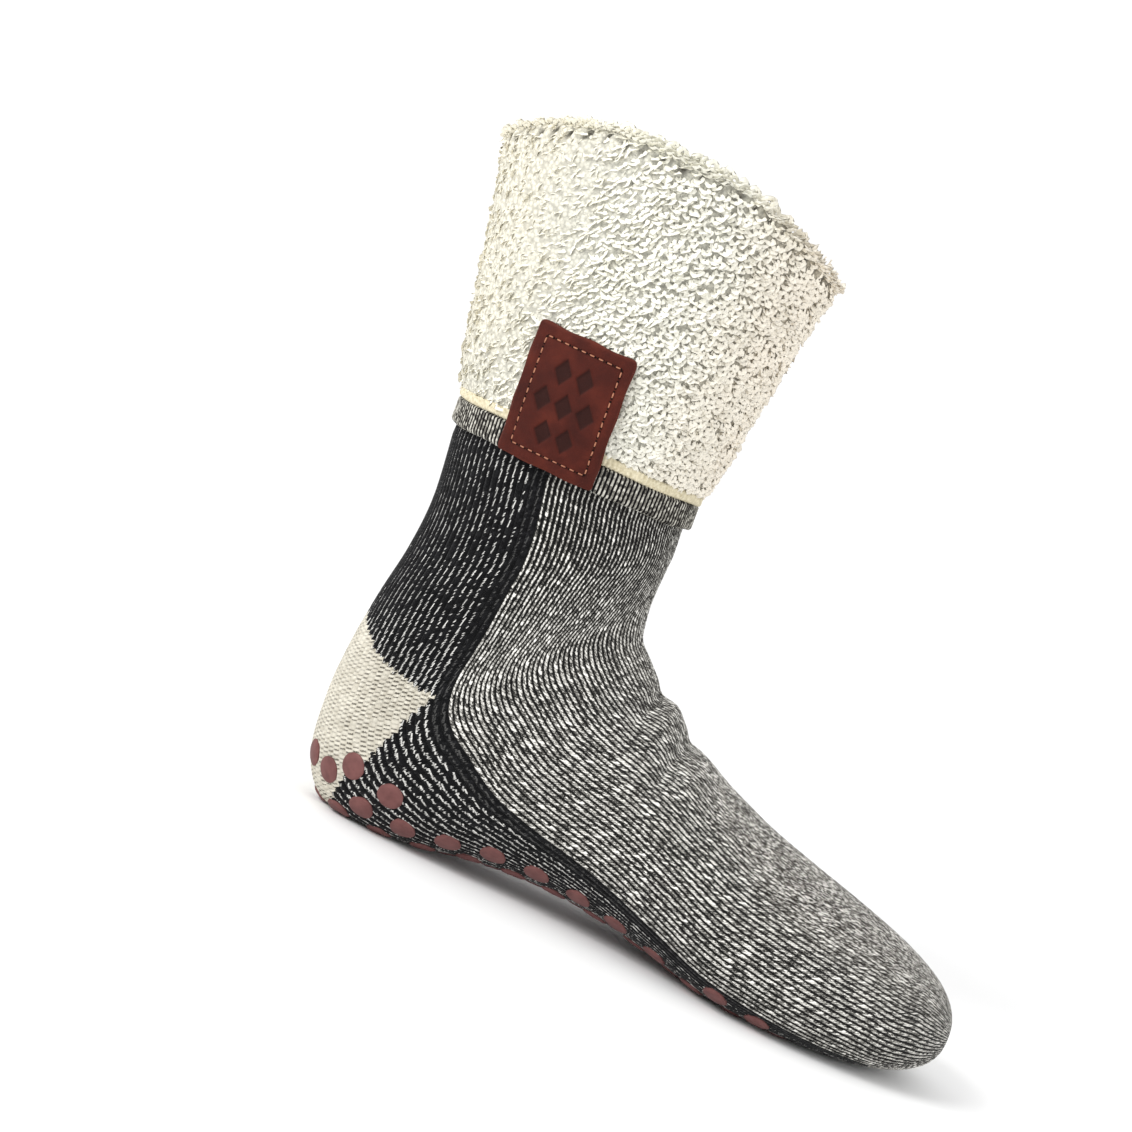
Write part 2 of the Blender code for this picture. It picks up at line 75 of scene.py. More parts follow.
# Cuff
HEM_HEIGHT = 0.147
HEM_OVER_FAN = 0.0044
WELT_HEIGHT = 0.009
WELT_THICKNESS = 0.0026
EDGING_HEIGHT = 0.0032
EDGING_THICKNESS = 0.0034
TERRY_THICKNESS = 0.0064
FOLD_HEIGHT = 0.0062

# Leather patch, with its groove for the thread and its pressed rhombi
PATCH_WIDTH = 0.037
PATCH_HEIGHT = 0.0425
PATCH_THICKNESS = 0.0018
PATCH_SETBACK = 0.006
PATCH_CORNER = 0.0017
PATCH_COLUMNS = 75
PATCH_ROWS = 87
CUT_WAVE = 0.00022
STITCH_INSET = 0.0039
STITCHES_ACROSS = 9
STITCHES_UP = 11
THREAD_RADIUS = 0.00030
THREAD_RISE = 0.00026
THREAD_SINK = 0.00002
NEEDLE_HOLE_RADIUS = 0.00042
RHOMBUS_WIDTH = 0.0072
RHOMBUS_HEIGHT = 0.0090
PRESS_DEPTH = 0.00070
RHOMBI = ((-0.5, 1), (0.5, 1), (-1, 0), (0, 0), (1, 0), (-0.5, -1), (0.5, -1))

# Grip dots
GRIP_DIAMETER = 0.0098
GRIP_THICKNESS = 0.001
GRIP_PITCH = 0.0168
GRIP_ROW_PITCH = 0.012
GRIP_SIDES = 28
DOT_RIM = 0.00045
DOT_DOME = 0.00065
DOT_SINK = 0.0006
SKIN_RING_SPACING = 0.004
SKIN_RINGS = 110
CLEARANCE = 0.0003

# Knitting: ribs round each panel, counted on one side, and the spacing of the mesh's rings
BACK_WALES = 24
FRONT_WALES = 44
HALF_WALES = float(BACK_WALES + FRONT_WALES)
STEPS_PER_WALE = 4
KNIT_RING_SPACING = 0.0025
COURSE_PITCH = 0.00135
RIB_SHARE = 0.10
RIB_LIMIT = 0.00024
NARROW_WALE = 0.0020
WIDE_WALE = 0.0026

# Welt and binding: ribs and cords round the whole cuff
WELT_RIBS = 176
WELT_STEPS = 4
WELT_WAVE = 0.00025
BINDING_COLUMNS = 720
BINDING_CORDS = 170
CORD_DEPTH = 0.00015
BINDING_WAVE = 0.00022

# Terry: loops of yarn on a sunken base, which is filled up where the pile is matted
CUFF_COLUMNS = 240
YARN_RADIUS = 0.00082
LOOP_RADIUS = 0.00125
LOOP_ARC = math.radians(238)
LOOP_SIDES = 5
LOOP_STEPS = 6
LOOP_SPACING = 0.00215
LOOP_ROW_SPACING = 0.0021
LOWEST_LOOPS = 0.0012
BARE_INSIDE = 0.0022
ROW_SCATTER = 0.00035
COLUMN_SCATTER = 0.16
TERRY_SINK = 0.0026
RIM_ROWS = (-0.0024, 0.0, 0.0022)
EYELETS_BELOW_RIM = 0.0044
EYELET_EVERY = 3
EYELET_REACH = 0.0011
MATTED_FILL = 0.0020
OPEN_FILL = 0.0005
LINED_DEPTH = 0.024

KNIT_BOTTOM = GRIP_THICKNESS + CLEARANCE
SOLE_BASE = KNIT_BOTTOM - SOLE_PRESS
ANKLE_FRONT = HEEL_OVERHANG + ANKLE_DEPTH
BODY_TOP = SHAFT_HEIGHT - FOLD_HEIGHT
EDGING_BOTTOM = HEM_HEIGHT + WELT_HEIGHT + CLEARANCE
TERRY_BOTTOM = EDGING_BOTTOM + EDGING_HEIGHT + CLEARANCE
FAN_TOP_SHARE = 1.455
FAN_TOP = HEM_HEIGHT - HEM_OVER_FAN
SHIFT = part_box("knit_body")[1].x - FOOT_LENGTH

# A section runs from its dorsal point, on the instep or shin, to its sole point, on the sole,
# heel or back of the leg. It is widest at its waist, a share of the way up from the sole point.
Section = namedtuple("Section", "dorsal sole half_width waist top_power sole_power")

# Foot sections from the toe tip to the arch. "along" goes from the shin line to the toe tip,
# "sole_along" is a share of the foot length, "top" of the instep height, "arch" of the arch
# height, "toe" of the toe tip height and "width" of the ball width.
FootRow = namedtuple("FootRow", "along sole_along top arch toe width waist top_power sole_power")
FOOT_ROWS = (
    FootRow(1.000, 1.000, 0.204, 0.00, 1.00, 0.000, 0.50, 2.0, 2.0),
    FootRow(0.990, 0.993, 0.285, 0.00, 0.66, 0.152, 0.49, 2.0, 2.1),
    FootRow(0.958, 0.974, 0.350, 0.00, 0.40, 0.254, 0.48, 2.1, 2.2),
    FootRow(0.905, 0.941, 0.405, 0.00, 0.20, 0.342, 0.46, 2.1, 2.3),
    FootRow(0.820, 0.888, 0.460, 0.00, 0.06, 0.420, 0.44, 2.1, 2.5),
    FootRow(0.702, 0.814, 0.515, 0.00, 0.00, 0.477, 0.42, 2.1, 2.7),
    FootRow(0.578, 0.736, 0.568, 0.00, 0.00, 0.500, 0.41, 2.0, 2.8),
    FootRow(0.454, 0.655, 0.625, 0.12, 0.00, 0.483, 0.41, 2.0, 2.7),
    FootRow(0.350, 0.568, 0.692, 0.55, 0.00, 0.443, 0.42, 2.0, 2.4),
    FootRow(0.250, 0.475, 0.762, 0.92, 0.00, 0.408, 0.43, 2.0, 2.3),
    FootRow(0.180, 0.382, 0.842, 1.00, 0.00, 0.387, 0.43, 2.0, 2.3),
)

# Ankle sections fan round the heel. "front" goes from the shin line to the toe tip, "front_z"
# is 1 at the instep height and FAN_TOP_SHARE at the top of the fan, "back_z" is 0 at the floor
# and the same share there, "sole_x" is a share of the foot length, "back_x" of the heel
# overhang and "width" of the ankle width.
AnkleRow = namedtuple("AnkleRow", "front front_z sole_x back_x arch back_z width waist power")
ANKLE_ROWS = (
    AnkleRow(0.112, 0.915, 0.287, 0.00, 0.72, 0.000, 1.060, 0.44, 2.4),
    AnkleRow(0.062, 0.985, 0.202, 0.00, 0.20, 0.000, 1.055, 0.45, 2.6),
    AnkleRow(0.027, 1.050, 0.124, 0.00, 0.00, 0.000, 1.050, 0.46, 2.6),
    AnkleRow(0.011, 1.105, 0.054, 0.00, 0.00, 0.030, 1.040, 0.46, 2.4),
    AnkleRow(0.004, 1.152, 0.014, 0.00, 0.00, 0.165, 1.020, 0.47, 2.2),
    AnkleRow(0.001, 1.198, 0.000, 0.00, 0.00, 0.395, 1.000, 0.47, 2.1),
    AnkleRow(0.000, 1.245, 0.000, 0.02, 0.00, 0.605, 0.995, 0.48, 2.1),
    AnkleRow(0.000, 1.290, 0.000, 0.38, 0.00, 0.815, 0.995, 0.49, 2.1),
    AnkleRow(0.000, 1.338, 0.000, 0.86, 0.00, 1.020, 1.000, 0.50, 2.0),
    AnkleRow(0.000, 1.390, 0.000, 0.96, 0.00, 1.225, 1.025, 0.50, 2.0),
)

# Shaft sections are level. "height" goes from the ankle's last level to the top of the knit,
# "front" and "back" are shares of the flare there, and "width" goes from ankle to collar.
ShaftRow = namedtuple("ShaftRow", "height front back width")
SHAFT_ROWS = (
    ShaftRow(0.00, -0.10, 0.14, 0.13),
    ShaftRow(0.12, -0.28, 0.16, 0.22),
    ShaftRow(0.28, -0.25, 0.28, 0.37),
    ShaftRow(0.46, -0.10, 0.43, 0.54),
    ShaftRow(0.64, 0.18, 0.60, 0.70),
    ShaftRow(0.82, 0.52, 0.78, 0.86),
    ShaftRow(1.00, 1.00, 1.00, 1.00),
)

# The outer face of the terry: a share of its height and of its thickness.
TerryRow = namedtuple("TerryRow", "height thickness")
TERRY_ROWS = (
    TerryRow(0.00, 0.56),
    TerryRow(0.03, 0.72),
    TerryRow(0.09, 0.88),
    TerryRow(0.20, 1.00),
    TerryRow(0.45, 1.06),
    TerryRow(0.70, 1.04),
    TerryRow(0.90, 1.00),
)

# The line between the pale front panel and the dark back one, in the side view, in mm
PanelPoint = namedtuple("PanelPoint", "x z")
PANEL_LINE = (
    PanelPoint(41, 175),
    PanelPoint(44, 146),
    PanelPoint(49, 116),
    PanelPoint(47, 83),
    PanelPoint(44, 61),
    PanelPoint(51, 50),
    PanelPoint(74, 35),
    PanelPoint(86, 31),
    PanelPoint(118, 25),
    PanelPoint(163, 11),
    PanelPoint(185, 8),
    PanelPoint(212, 5.5),
    PanelPoint(245, 5.5),
)

# The cream heel in the side view, in mm: its upper edge as z at x, its lower edge as x at z
HEEL_TOP = ((-8, 79), (1.2, 72.6), (5.3, 66.5), (13.8, 61.2), (23, 58.6), (30.3, 57.6), (46, 57.6))
HEEL_FRONT = ((-2, 20), (13.2, 20.5), (24, 26.6), (33.5, 29.5), (58.6, 40), (64, 43))
TOE_CAP_START = 234

# Creases of the ankle, each from one end to the other in the side view, in mm. "depth" is the
# trough's, below nought for a ridge, "spread" its half width and "far" its share on the left.
Crease = namedtuple("Crease", "x0 z0 x1 z1 depth spread far")
CREASES = (
    Crease(112, 90, 108, 74, 1.9, 3.4, 0.7),
    Crease(119, 87, 114, 68, -1.5, 4.0, 0.8),
    Crease(128, 77, 121, 54, 2.1, 3.6, 0.9),
    Crease(138, 72, 130, 50, -0.9, 5.0, 0.6),
    Crease(98, 104, 84, 92, 0.9, 4.5, 1.0),
    Crease(56, 62, 44, 74, 0.7, 5.0, 0.8),
    Crease(150, 63, 143, 48, 0.6, 5.0, 0.9),
)

# The printed dots by pad: the pad's middle as a share of the foot, then for each row its place
# across in row pitches and its dots' places along in pitches
GRIP_PADS = (
    (0.156, (
        (-3.5, (-1, 0)),
        (-2.5, (-1.5, -0.5, 0.5, 1.5)),
        (-1.5, (-2, -1, 0, 1)),
        (-0.5, (-1.5, -0.5, 0.5, 1.5)),
        (0.5, (-1, 0, 1)),
        (1.5, (-1.5, -0.5, 0.5, 1.5)),
        (2.5, (-2, -1, 0, 1)),
        (3.5, (-0.5, 0.5)),
    )),
    (0.707, (
        (-3.5, (-0.5, 0.5)),
        (-2.5, (-1, 0, 1)),
        (-1.5, (-1.5, -0.5, 0.5, 1.5)),
        (-0.5, (-1, 0, 1)),
        (0.5, (-1.5, -0.5, 0.5, 1.5)),
        (1.5, (-1, 0, 1)),
        (2.5, (-0.5, 0.5, 1.5)),
        (3.5, (0, 1)),
    )),
)
# The dots that the part leaves to the looks: x in mm for each row of the grid
EVEN_ARCH_DOTS = (82, 99, 116, 132, 149)
ODD_ARCH_DOTS = (74, 91, 107, 124, 141)
ARCH_AND_TOE_DOTS = (
    (-2.5, EVEN_ARCH_DOTS),
    (-1.5, ODD_ARCH_DOTS),
    (-0.5, EVEN_ARCH_DOTS),
    (0.5, ODD_ARCH_DOTS),
    (1.5, EVEN_ARCH_DOTS),
    (2.5, ODD_ARCH_DOTS),
    (-0.5, (216,)),
    (0.5, (224,)),
    (1.5, (216,)),
)

# Strokes of the white ply in the dark marl: how many courses a place for one is long, the share
# of places with one, its width in ribs, and the seed of its chances
Stroke = namedtuple("Stroke", "courses share width seed")
STROKES = (
    Stroke(2.6, 0.42, 0.105, 1.0),
    Stroke(1.1, 0.42, 0.090, 2.0),
    Stroke(0.55, 0.34, 0.120, 3.0),
)

# Tones from dark to light, or from the back of the cuff to its front
PALE_TONES = ((0.10, "090909"), (0.25, "282725"), (0.39, "72706b"), (0.53, "bab8b1"), (0.70, "f2f0ea"))
DARK_TONES = ((0.26, "020203"), (0.52, "0b0b0d"), (0.82, "202022"))
WELT_TONES = ((0.10, "0f0f0f"), (0.32, "34322f"), (0.52, "7d7a72"), (0.72, "bfbcb2"), (0.95, "eeebe2"))
# The pile's and the roots' tones across the cuff are painted light and shade, and the roots', seen
# between the loops, are darker still as painted shade
PILE_TONES = ((0.10, "f2eddc"), (0.42, "f8f6e9"), (0.70, "f8f6ea"), (1.0, "f9f1e2"))
ROOT_SHADE_TONES = ((0.12, "f2eddb"), (0.36, "e3e1d4"), (0.70, "c6c4b7"), (1.0, "b8ae9b"))

# Camera and lights
AIM_X = 0.0600
AIM_HEIGHT = 0.1160
CAMERA_RISE = math.radians(5)
CAMERA_SWING = math.radians(4)
CAMERA_ROLL = math.radians(25)
CAMERA_DISTANCE = 0.95
SEEN_WIDTH = 0.413
SENSOR_WIDTH_MM = 36
LIGHTS = (
    ("key", (-1.25, -1.25, 1.2), 0.9, 29.0),
    ("fill", (1.5, -1.0, 0.9), 1.2, 9.0),
)
SURROUND_LIGHT = 0.83

# Settings of a Mix node for colours, and for darkening one by a value
COLOURS = {"data_type": "RGBA", "out": 2}
SHADES = {"data_type": "RGBA", "blend_type": "MULTIPLY", "out": 2}


def blend(low, high, share):
    return low + (high - low) * share


def ease(share):
    """A smooth step from 0 to 1."""
    share = np.clip(share, 0.0, 1.0)
    return share * share * (3 - 2 * share)


def foot_section(row):
    dorsal = (blend(ANKLE_FRONT, FOOT_LENGTH, row.along), INSTEP_HEIGHT * row.top)
    lift = ARCH_HEIGHT * row.arch + (TOE_TIP_HEIGHT - SOLE_BASE) * row.toe
    sole = (FOOT_LENGTH * row.sole_along, SOLE_BASE + lift)
    half_width = BALL_WIDTH * row.width
    return Section(dorsal, sole, half_width, row.waist, row.top_power, row.sole_power)


def ankle_section(row):
    rise = (row.front_z - 1) / (FAN_TOP_SHARE - 1)
    front_z = blend(INSTEP_HEIGHT, FAN_TOP, rise) if rise > 0 else INSTEP_HEIGHT * row.front_z
    dorsal = (blend(ANKLE_FRONT, FOOT_LENGTH, row.front), front_z)
    sole = (
        FOOT_LENGTH * row.sole_x + HEEL_OVERHANG * row.back_x,
        SOLE_BASE + ARCH_HEIGHT * row.arch + FAN_TOP * row.back_z / FAN_TOP_SHARE,
    )
    half_width = ANKLE_WIDTH / 2 * row.width
    return Section(dorsal, sole, half_width, row.waist, 2.0, row.power)


def shaft_section(row):
    flare = COLLAR_DEPTH - ANKLE_DEPTH
    level = blend(FAN_TOP, BODY_TOP, row.height)
    front = ANKLE_FRONT + flare * (1 - BACK_FLARE_SHARE) * row.front
    back = HEEL_OVERHANG - flare * BACK_FLARE_SHARE * row.back
    half_width = blend(ANKLE_WIDTH, COLLAR_WIDTH, row.width) / 2
    return Section((front, level), (back, level), half_width, 0.5, 2.0, 2.0)


def section_between(sections, place):
    """The section at a fractional place in the list, on a smooth curve through the rows."""
    last = len(sections) - 1
    first = min(int(place), last - 1)
    share = place - first
    rows = [sections[min(max(first + k, 0), last)] for k in (-1, 0, 1, 2)]
    rows = [(*row.dorsal, *row.sole, *row[2:]) for row in rows]
    found = []
    for before, start, end, after in zip(*rows):
        if first == 0:
            before = start
        slope_in, slope_out = (end - before) / 2, (after - start) / 2
        cube, square = share**3, share**2
        found.append(
            (2 * cube - 3 * square + 1) * start
            + (cube - 2 * square + share) * slope_in
            + (3 * square - 2 * cube) * end
            + (cube - square) * slope_out
        )
    return Section(tuple(found[:2]), tuple(found[2:4]), *found[4:])


def spaced_sections(rows, spacing):
    """Sections about one spacing apart along the smooth curve through the rows."""
    places = np.arange((len(rows) - 1) * 24 + 1) / 24
    fine = [section_between(rows, place) for place in places]
    lengths = [0.0]
    for one, other in zip(fine, fine[1:]):
        step = max(math.dist(one.dorsal, other.dorsal), math.dist(one.sole, other.sole))
        lengths.append(lengths[-1] + step)
    count = max(2, round(lengths[-1] / spacing))
    wanted = np.interp(np.arange(count + 1) / count * lengths[-1], lengths, places)
    return [section_between(rows, place) for place in wanted]


SHAFT = [shaft_section(row) for row in SHAFT_ROWS]
LOWER = [foot_section(row) for row in FOOT_ROWS]
LOWER += [ankle_section(row) for row in ANKLE_ROWS]
LOWER.append(SHAFT[0])


def level_section(level):
    """The shaft's section at a height; above the top of the knit it is the topmost one."""
    if level >= BODY_TOP:
        return SHAFT[-1]
    low, high = 0.0, len(SHAFT) - 1.0
    for _ in range(30):
        middle = (low + high) / 2
        if section_between(SHAFT, middle).sole[1] < level:
            low = middle
        else:
            high = middle
    return section_between(SHAFT, low)


def half_curve(section, offset=0.0):
    """Close points of the right half of a section, dorsal to sole: (across, up) and lengths."""
    depth = math.dist(section.dorsal, section.sole)
    angle = np.linspace(0, math.pi / 2, 121)
    rise, run = np.clip(np.cos(angle), 0, 1), np.sin(angle)
    top, sole = 2 / section.top_power, 2 / section.sole_power
    across = np.concatenate((run**top, (rise**sole)[1:])) * section.half_width
    up = np.concatenate(
        (rise**top * depth * (1 - section.waist), -(run**sole)[1:] * depth * section.waist)
    )
    curve = np.column_stack((across, up))
    if offset:
        along = np.gradient(curve, axis=0)
        along[0], along[-1] = (1, 0), (-1, 0)
        along /= np.linalg.norm(along, axis=1)[:, None]
        curve = curve + offset * np.column_stack((-along[:, 1], along[:, 0]))
    steps = np.linalg.norm(np.diff(curve, axis=0), axis=1)
    return curve, np.concatenate(([0], np.cumsum(steps)))


def in_space(section, flat, lift=0.0, offset=0.0):
    """Points (across, up) of a section in space. The right side is at -Y."""
    sole, dorsal = np.array(section.sole), np.array(section.dorsal)
    upward = dorsal - sole
    depth = np.linalg.norm(upward)
    upward = upward / depth
    centre = sole + upward * depth * section.waist
    place = centre + flat[:, 1:2] * upward
    level = section.sole[1]
    if level > HEM_HEIGHT and section.half_width > 0:
        rise = ease((level - HEM_HEIGHT) / (SHAFT_HEIGHT - HEM_HEIGHT))
        arch = RIM_ARCH * rise * np.minimum(np.abs(flat[:, 0]) / section.half_width, 1.0) ** 2
        place[:, 1] += arch
    place[:, 1] = np.maximum(place[:, 1] + lift, KNIT_BOTTOM - offset)
    return np.column_stack((place[:, 0], -flat[:, 0], place[:, 1]))


def ring_at(section, shares, offset=0.0, lift=0.0):
    """Ring points at shares of the half length from the dorsal point, below nought at the left."""
    curve, lengths = half_curve(section, offset)
    wanted = np.abs(shares) * lengths[-1]
    side = np.where(shares < 0, -1.0, 1.0)
    across = np.interp(wanted, lengths, curve[:, 0]) * side
    up = np.interp(wanted, lengths, curve[:, 1])
    return in_space(section, np.column_stack((across, up)), lift, offset)


def panel_share(section):
    """Where the panel line crosses a section, as a share of its half length."""
    curve, lengths = half_curve(section)
    points = in_space(section, curve)[:, (0, 2)] / MM
    line = np.array(PANEL_LINE)
    start, way = line[:-1], np.diff(line, axis=0)
    along = np.einsum("psk,sk->ps", points[:, None] - start, way) / (way**2).sum(1)
    nearest = start + np.clip(along, 0, 1)[..., None] * way
    gap = points[:, None] - nearest
    best = (gap**2).sum(2).argmin(1)
    pick = np.arange(len(points))
    side = way[best, 0] * gap[pick, best, 1] - way[best, 1] * gap[pick, best, 0]
    crossed = np.nonzero(side < 0)[0]
    share = lengths[crossed[0]] / lengths[-1] if len(crossed) else 1.0
    return min(max(share, 0.40), 0.74)


def smoothed(values, reach):
    """A running mean over a few neighbours each way."""
    padded = np.pad(values, reach, mode="edge")
    return np.convolve(padded, np.ones(2 * reach + 1) / (2 * reach + 1), mode="valid")


def column_shares(panel, half_length):
    """The share of every mesh column, from the sole's middle round the right side and on.

    The front's ribs are narrow on the leg and wide on the foot next to the panel line, and the
    ribs nearer the shin take up the rest.
    """
    steps = STEPS_PER_WALE
    wale = np.arange(2 * (BACK_WALES + FRONT_WALES) * steps + 1) / steps
    half = BACK_WALES + FRONT_WALES
    from_back = np.where(wale > half, 2 * half - wale, wale)
    mean = panel * half_length / FRONT_WALES
    warp = np.clip(np.clip(mean, NARROW_WALE, WIDE_WALE) / mean - 1, -0.35, 0.35)
    front = np.clip((half - from_back) / FRONT_WALES, 0, 1)
    front = front - warp * front * (1 - front)
    share = np.where(
        from_back <= BACK_WALES,
        1 - (1 - panel) * from_back / BACK_WALES,
        panel * front,
    )
    return np.where(wale > half, -share, share), wale


def grid_normals(points):
    """Outward unit normals of a grid of rings that closes round its columns."""
    round_way = np.roll(points[:, :-1], -1, axis=1) - np.roll(points[:, :-1], 1, axis=1)
    round_way = np.concatenate((round_way, round_way[:, :1]), axis=1)
    along = np.gradient(points, axis=0)
    normal = np.cross(round_way, along)
    length = np.linalg.norm(normal, axis=2, keepdims=True)
    return normal / np.maximum(length, 1e-12)


def crease_depth(points):
    """How far the creases press the knit in, in metres."""
    x, y, z = points[..., 0] / MM, points[..., 1] / MM, points[..., 2] / MM
    pressed = np.zeros(x.shape)
    for crease in CREASES:
        way = np.array((crease.x1 - crease.x0, crease.z1 - crease.z0))
        reach = np.hypot(*way)
        along = ((x - crease.x0) * way[0] + (z - crease.z0) * way[1]) / reach**2
        held = np.clip(along, 0, 1)
        gap = np.hypot(x - crease.x0 - held * way[0], z - crease.z0 - held * way[1])
        fade = 1 - 0.85 * ease((along - 0.25) / 0.75)
        side = np.where(y > 0, crease.far, 1.0)
        pressed += crease.depth * fade * side * np.exp(-((gap / crease.spread) ** 2))
    return pressed * MM


def grid_object(name, points, material, uv=None, fields=(), closed=True):
    """A mesh laid over a grid of points.

    The first and last columns of a closed one meet. An open one faces the right side, at -Y.
    """
    rows, columns = points.shape[:2]
    shape = bmesh.new()
    bmesh.ops.create_grid(shape, x_segments=columns - 1, y_segments=rows - 1, size=1)
    mesh = bpy.data.meshes.new("grid")
    shape.to_mesh(mesh)
    mesh.vertices.foreach_set("co", points.reshape(-1).astype(np.float32))
    if uv is not None:
        layer = mesh.uv_layers.new(name="knit")
        index = np.empty(len(mesh.loops), np.int32)
        mesh.loops.foreach_get("vertex_index", index)
        layer.uv.foreach_set("vector", uv.reshape(-1, 2)[index].reshape(-1).astype(np.float32))
    for field, values in dict(fields).items():
        made = mesh.attributes.new(field, "FLOAT", "POINT")
        made.data.foreach_set("value", values.reshape(-1).astype(np.float32))
    shape.clear()
    shape.from_mesh(mesh)
    bpy.data.meshes.remove(mesh)
    if closed:
        bmesh.ops.remove_doubles(shape, verts=shape.verts, dist=2e-6)
    elif sum(face.normal.y for face in shape.faces) > 0:
        bmesh.ops.reverse_faces(shape, faces=shape.faces)
    return placed_object(name, shape, material)


def placed_object(name, shape, *materials):
    """Moves a bmesh into the part's frame, makes it an object and rides it on the root."""
    bmesh.ops.translate(shape, verts=shape.verts, vec=(SHIFT, 0, 0))
    mesh = bpy.data.meshes.new(name)
    shape.to_mesh(mesh)
    shape.free()
    mesh.shade_smooth()
    for material in materials:
        mesh.materials.append(material)
    made = bpy.data.objects.new(name, mesh)
    bpy.context.scene.collection.objects.link(made)
    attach(made, "root")
    return made


def srgb(code):
    """Linear RGBA of an sRGB hex colour."""
    found = []
    for k in (0, 2, 4):
        value = int(code[k : k + 2], 16) / 255
        found.append(value / 12.92 if value <= 0.04045 else ((value + 0.055) / 1.055) ** 2.4)
    return (*found, 1.0)


class Graph:
    """A material's node tree."""

    def __init__(self, name, roughness, **settings):
        self.material = bpy.data.materials.new(name)
        self.material.use_nodes = True
        self.tree = self.material.node_tree
        self.shader = self.tree.nodes["Principled BSDF"]
        self.shader.inputs["Roughness"].default_value = roughness
        for socket, value in settings.items():
            self.shader.inputs[socket.replace("_", " ")].default_value = value

    def add(self, kind, *values, out=0, named=(), stops=(), **settings):
        """Adds a node with its settings, links and colour stops, and returns one output."""
        made = self.tree.nodes.new("ShaderNode" + kind)
        for k, (place, code) in enumerate(stops):
            bands = made.color_ramp.elements
            band = bands[k] if k < len(bands) else bands.new(place)
            band.position, band.color = place, srgb(code)
        for setting, value in settings.items():
            setattr(made, setting, value)
        for key, value in [*enumerate(values), *dict(named).items()]:
            if isinstance(value, bpy.types.NodeSocket):
                self.tree.links.new(value, made.inputs[key])
            elif value is not None:
                made.inputs[key].default_value = value
        return made.outputs[out]

    def finish(self, colour, height=None, depth=0.0005, strength=1.0):
        """Links the colour and a bump of a real depth."""
        self.tree.links.new(colour, self.shader.inputs["Base Color"])
        if height is not None:
            bump = self.add("Bump", named={"Height": height, "Distance": depth, "Strength": strength})
            self.tree.links.new(bump, self.shader.inputs["Normal"])
        return self.material


# What every part of the knit's pattern reads: u counts ribs and v counts courses, column is the
# rib, off_middle the way from its middle, and fleck and chance are dice for a half and a stitch
Stitches = namedtuple(
    "Stitches", "u v across column off_middle rib notch fleck chance fibre fibre_off wide"
)


def stitch_places(add):
    """Where each stitch lies in the knit. Its row is counted on a slant, as its legs lean."""
    place = add("UVMap", uv_map="knit")
    u, v = add("SeparateXYZ", place), add("SeparateXYZ", place, out=1)
    across = add("Math", u, operation="FRACT")
    column = add("Math", u, operation="FLOOR")
    off_middle = add("Math", across, 0.5, operation="SUBTRACT")
    off_middle = add("Math", off_middle, operation="ABSOLUTE")
    slant = add("Math", off_middle, 0.9, v, operation="MULTIPLY_ADD")
    row = add("Math", slant, operation="FLOOR")
    leg = add("Math", across, 0.5, operation="GREATER_THAN")
    half = add("Math", column, 2.0, leg, operation="MULTIPLY_ADD")
    fleck = add("TexWhiteNoise", add("CombineXYZ", half, row, 0.0))
    chance = add("TexWhiteNoise", add("CombineXYZ", column, row, 3.0))
    # Fibres about 0.3 mm wide and 0.8 mm long, the finest that show in the render
    fine = add("CombineXYZ", add("Math", u, 5.0, operation="MULTIPLY"), v, 0.0)
    fibre = add("TexNoise", named={"Vector": fine, "Scale": 1.8, "Detail": 3.0, "Roughness": 0.65})
    fibre_off = add("Math", fibre, 0.5, operation="SUBTRACT")
    # 1 on the rib and 0 in the gap between two ribs, with a notch between stitches
    rib = add("MapRange", off_middle, 0.50, 0.34, interpolation_type="SMOOTHSTEP")
    notch = add("Math", add("Math", slant, operation="FRACT"), 0.5, operation="SUBTRACT")
    notch = add("MapRange", add("Math", notch, operation="ABSOLUTE"), 0.5, 0.26)
    wide = add("Attribute", attribute_name="foot", out=2)
    return Stitches(
        u, v, across, column, off_middle, rib, notch, fleck, chance, fibre, fibre_off, wide
    )


def pale_marl(add, knit):
    """Painted light and shade: a lit line on each rib, wider on the foot, in beads of unlike tone.

    Where the knit is stretched over the foot the two plies show mixed, as a speckle.
    """
    edge = add("MapRange", knit.wide, 0.0, 1.0, 0.34, 0.46)
    core = add("MapRange", knit.wide, 0.0, 1.0, 0.06, 0.22)
    # Painted light on the lit line. Away from it, in the gap between ribs and between stitches, the
    # wool is painted dark as shade
    line = add("Math", add("Math", knit.across, 0.45, operation="SUBTRACT"), operation="ABSOLUTE")
    lit = add("MapRange", line, edge, core)
    bead = add("Math", knit.fleck, 0.46, 0.10, operation="MULTIPLY_ADD")
    bead = add("Math", knit.notch, 0.20, bead, operation="MULTIPLY_ADD")
    bead = add("Math", knit.wide, -0.035, bead, operation="MULTIPLY_ADD")
    striped = add("Math", lit, bead, operation="MULTIPLY")
    grain_u = add("Math", add("Math", knit.u, 4.0, operation="MULTIPLY"), operation="FLOOR")
    grain_v = add("Math", add("Math", knit.v, 1.25, operation="MULTIPLY"), operation="FLOOR")
    grain = add("TexWhiteNoise", add("CombineXYZ", grain_u, grain_v, 7.0))
    mixed = add("Math", knit.fleck, 0.26, -0.16, operation="MULTIPLY_ADD")
    mixed = add("Math", lit, 0.10, mixed, operation="MULTIPLY_ADD")
    mixed = add("Math", grain, 0.74, mixed, operation="MULTIPLY_ADD")
    speckle = add("Attribute", attribute_name="speckle", out=2)
    value = add("Mix", speckle, named={2: striped, 3: mixed})
    value = add("Math", knit.fibre_off, 1.45, value, operation="MULTIPLY_ADD")
    slub = add("MapRange", knit.chance, 0.960, 0.990, 0.0, 0.45)
    slub = add("Math", slub, add("Math", lit, 0.3, operation="ADD"), operation="MULTIPLY")
    value = add("Math", value, slub, operation="ADD")
    pale = add("ValToRGB", value, stops=PALE_TONES)
    brown = add("Math", speckle, 0.20, operation="MULTIPLY")
    return add("Mix", brown, named={6: pale, 7: srgb("675d53")}, **COLOURS)


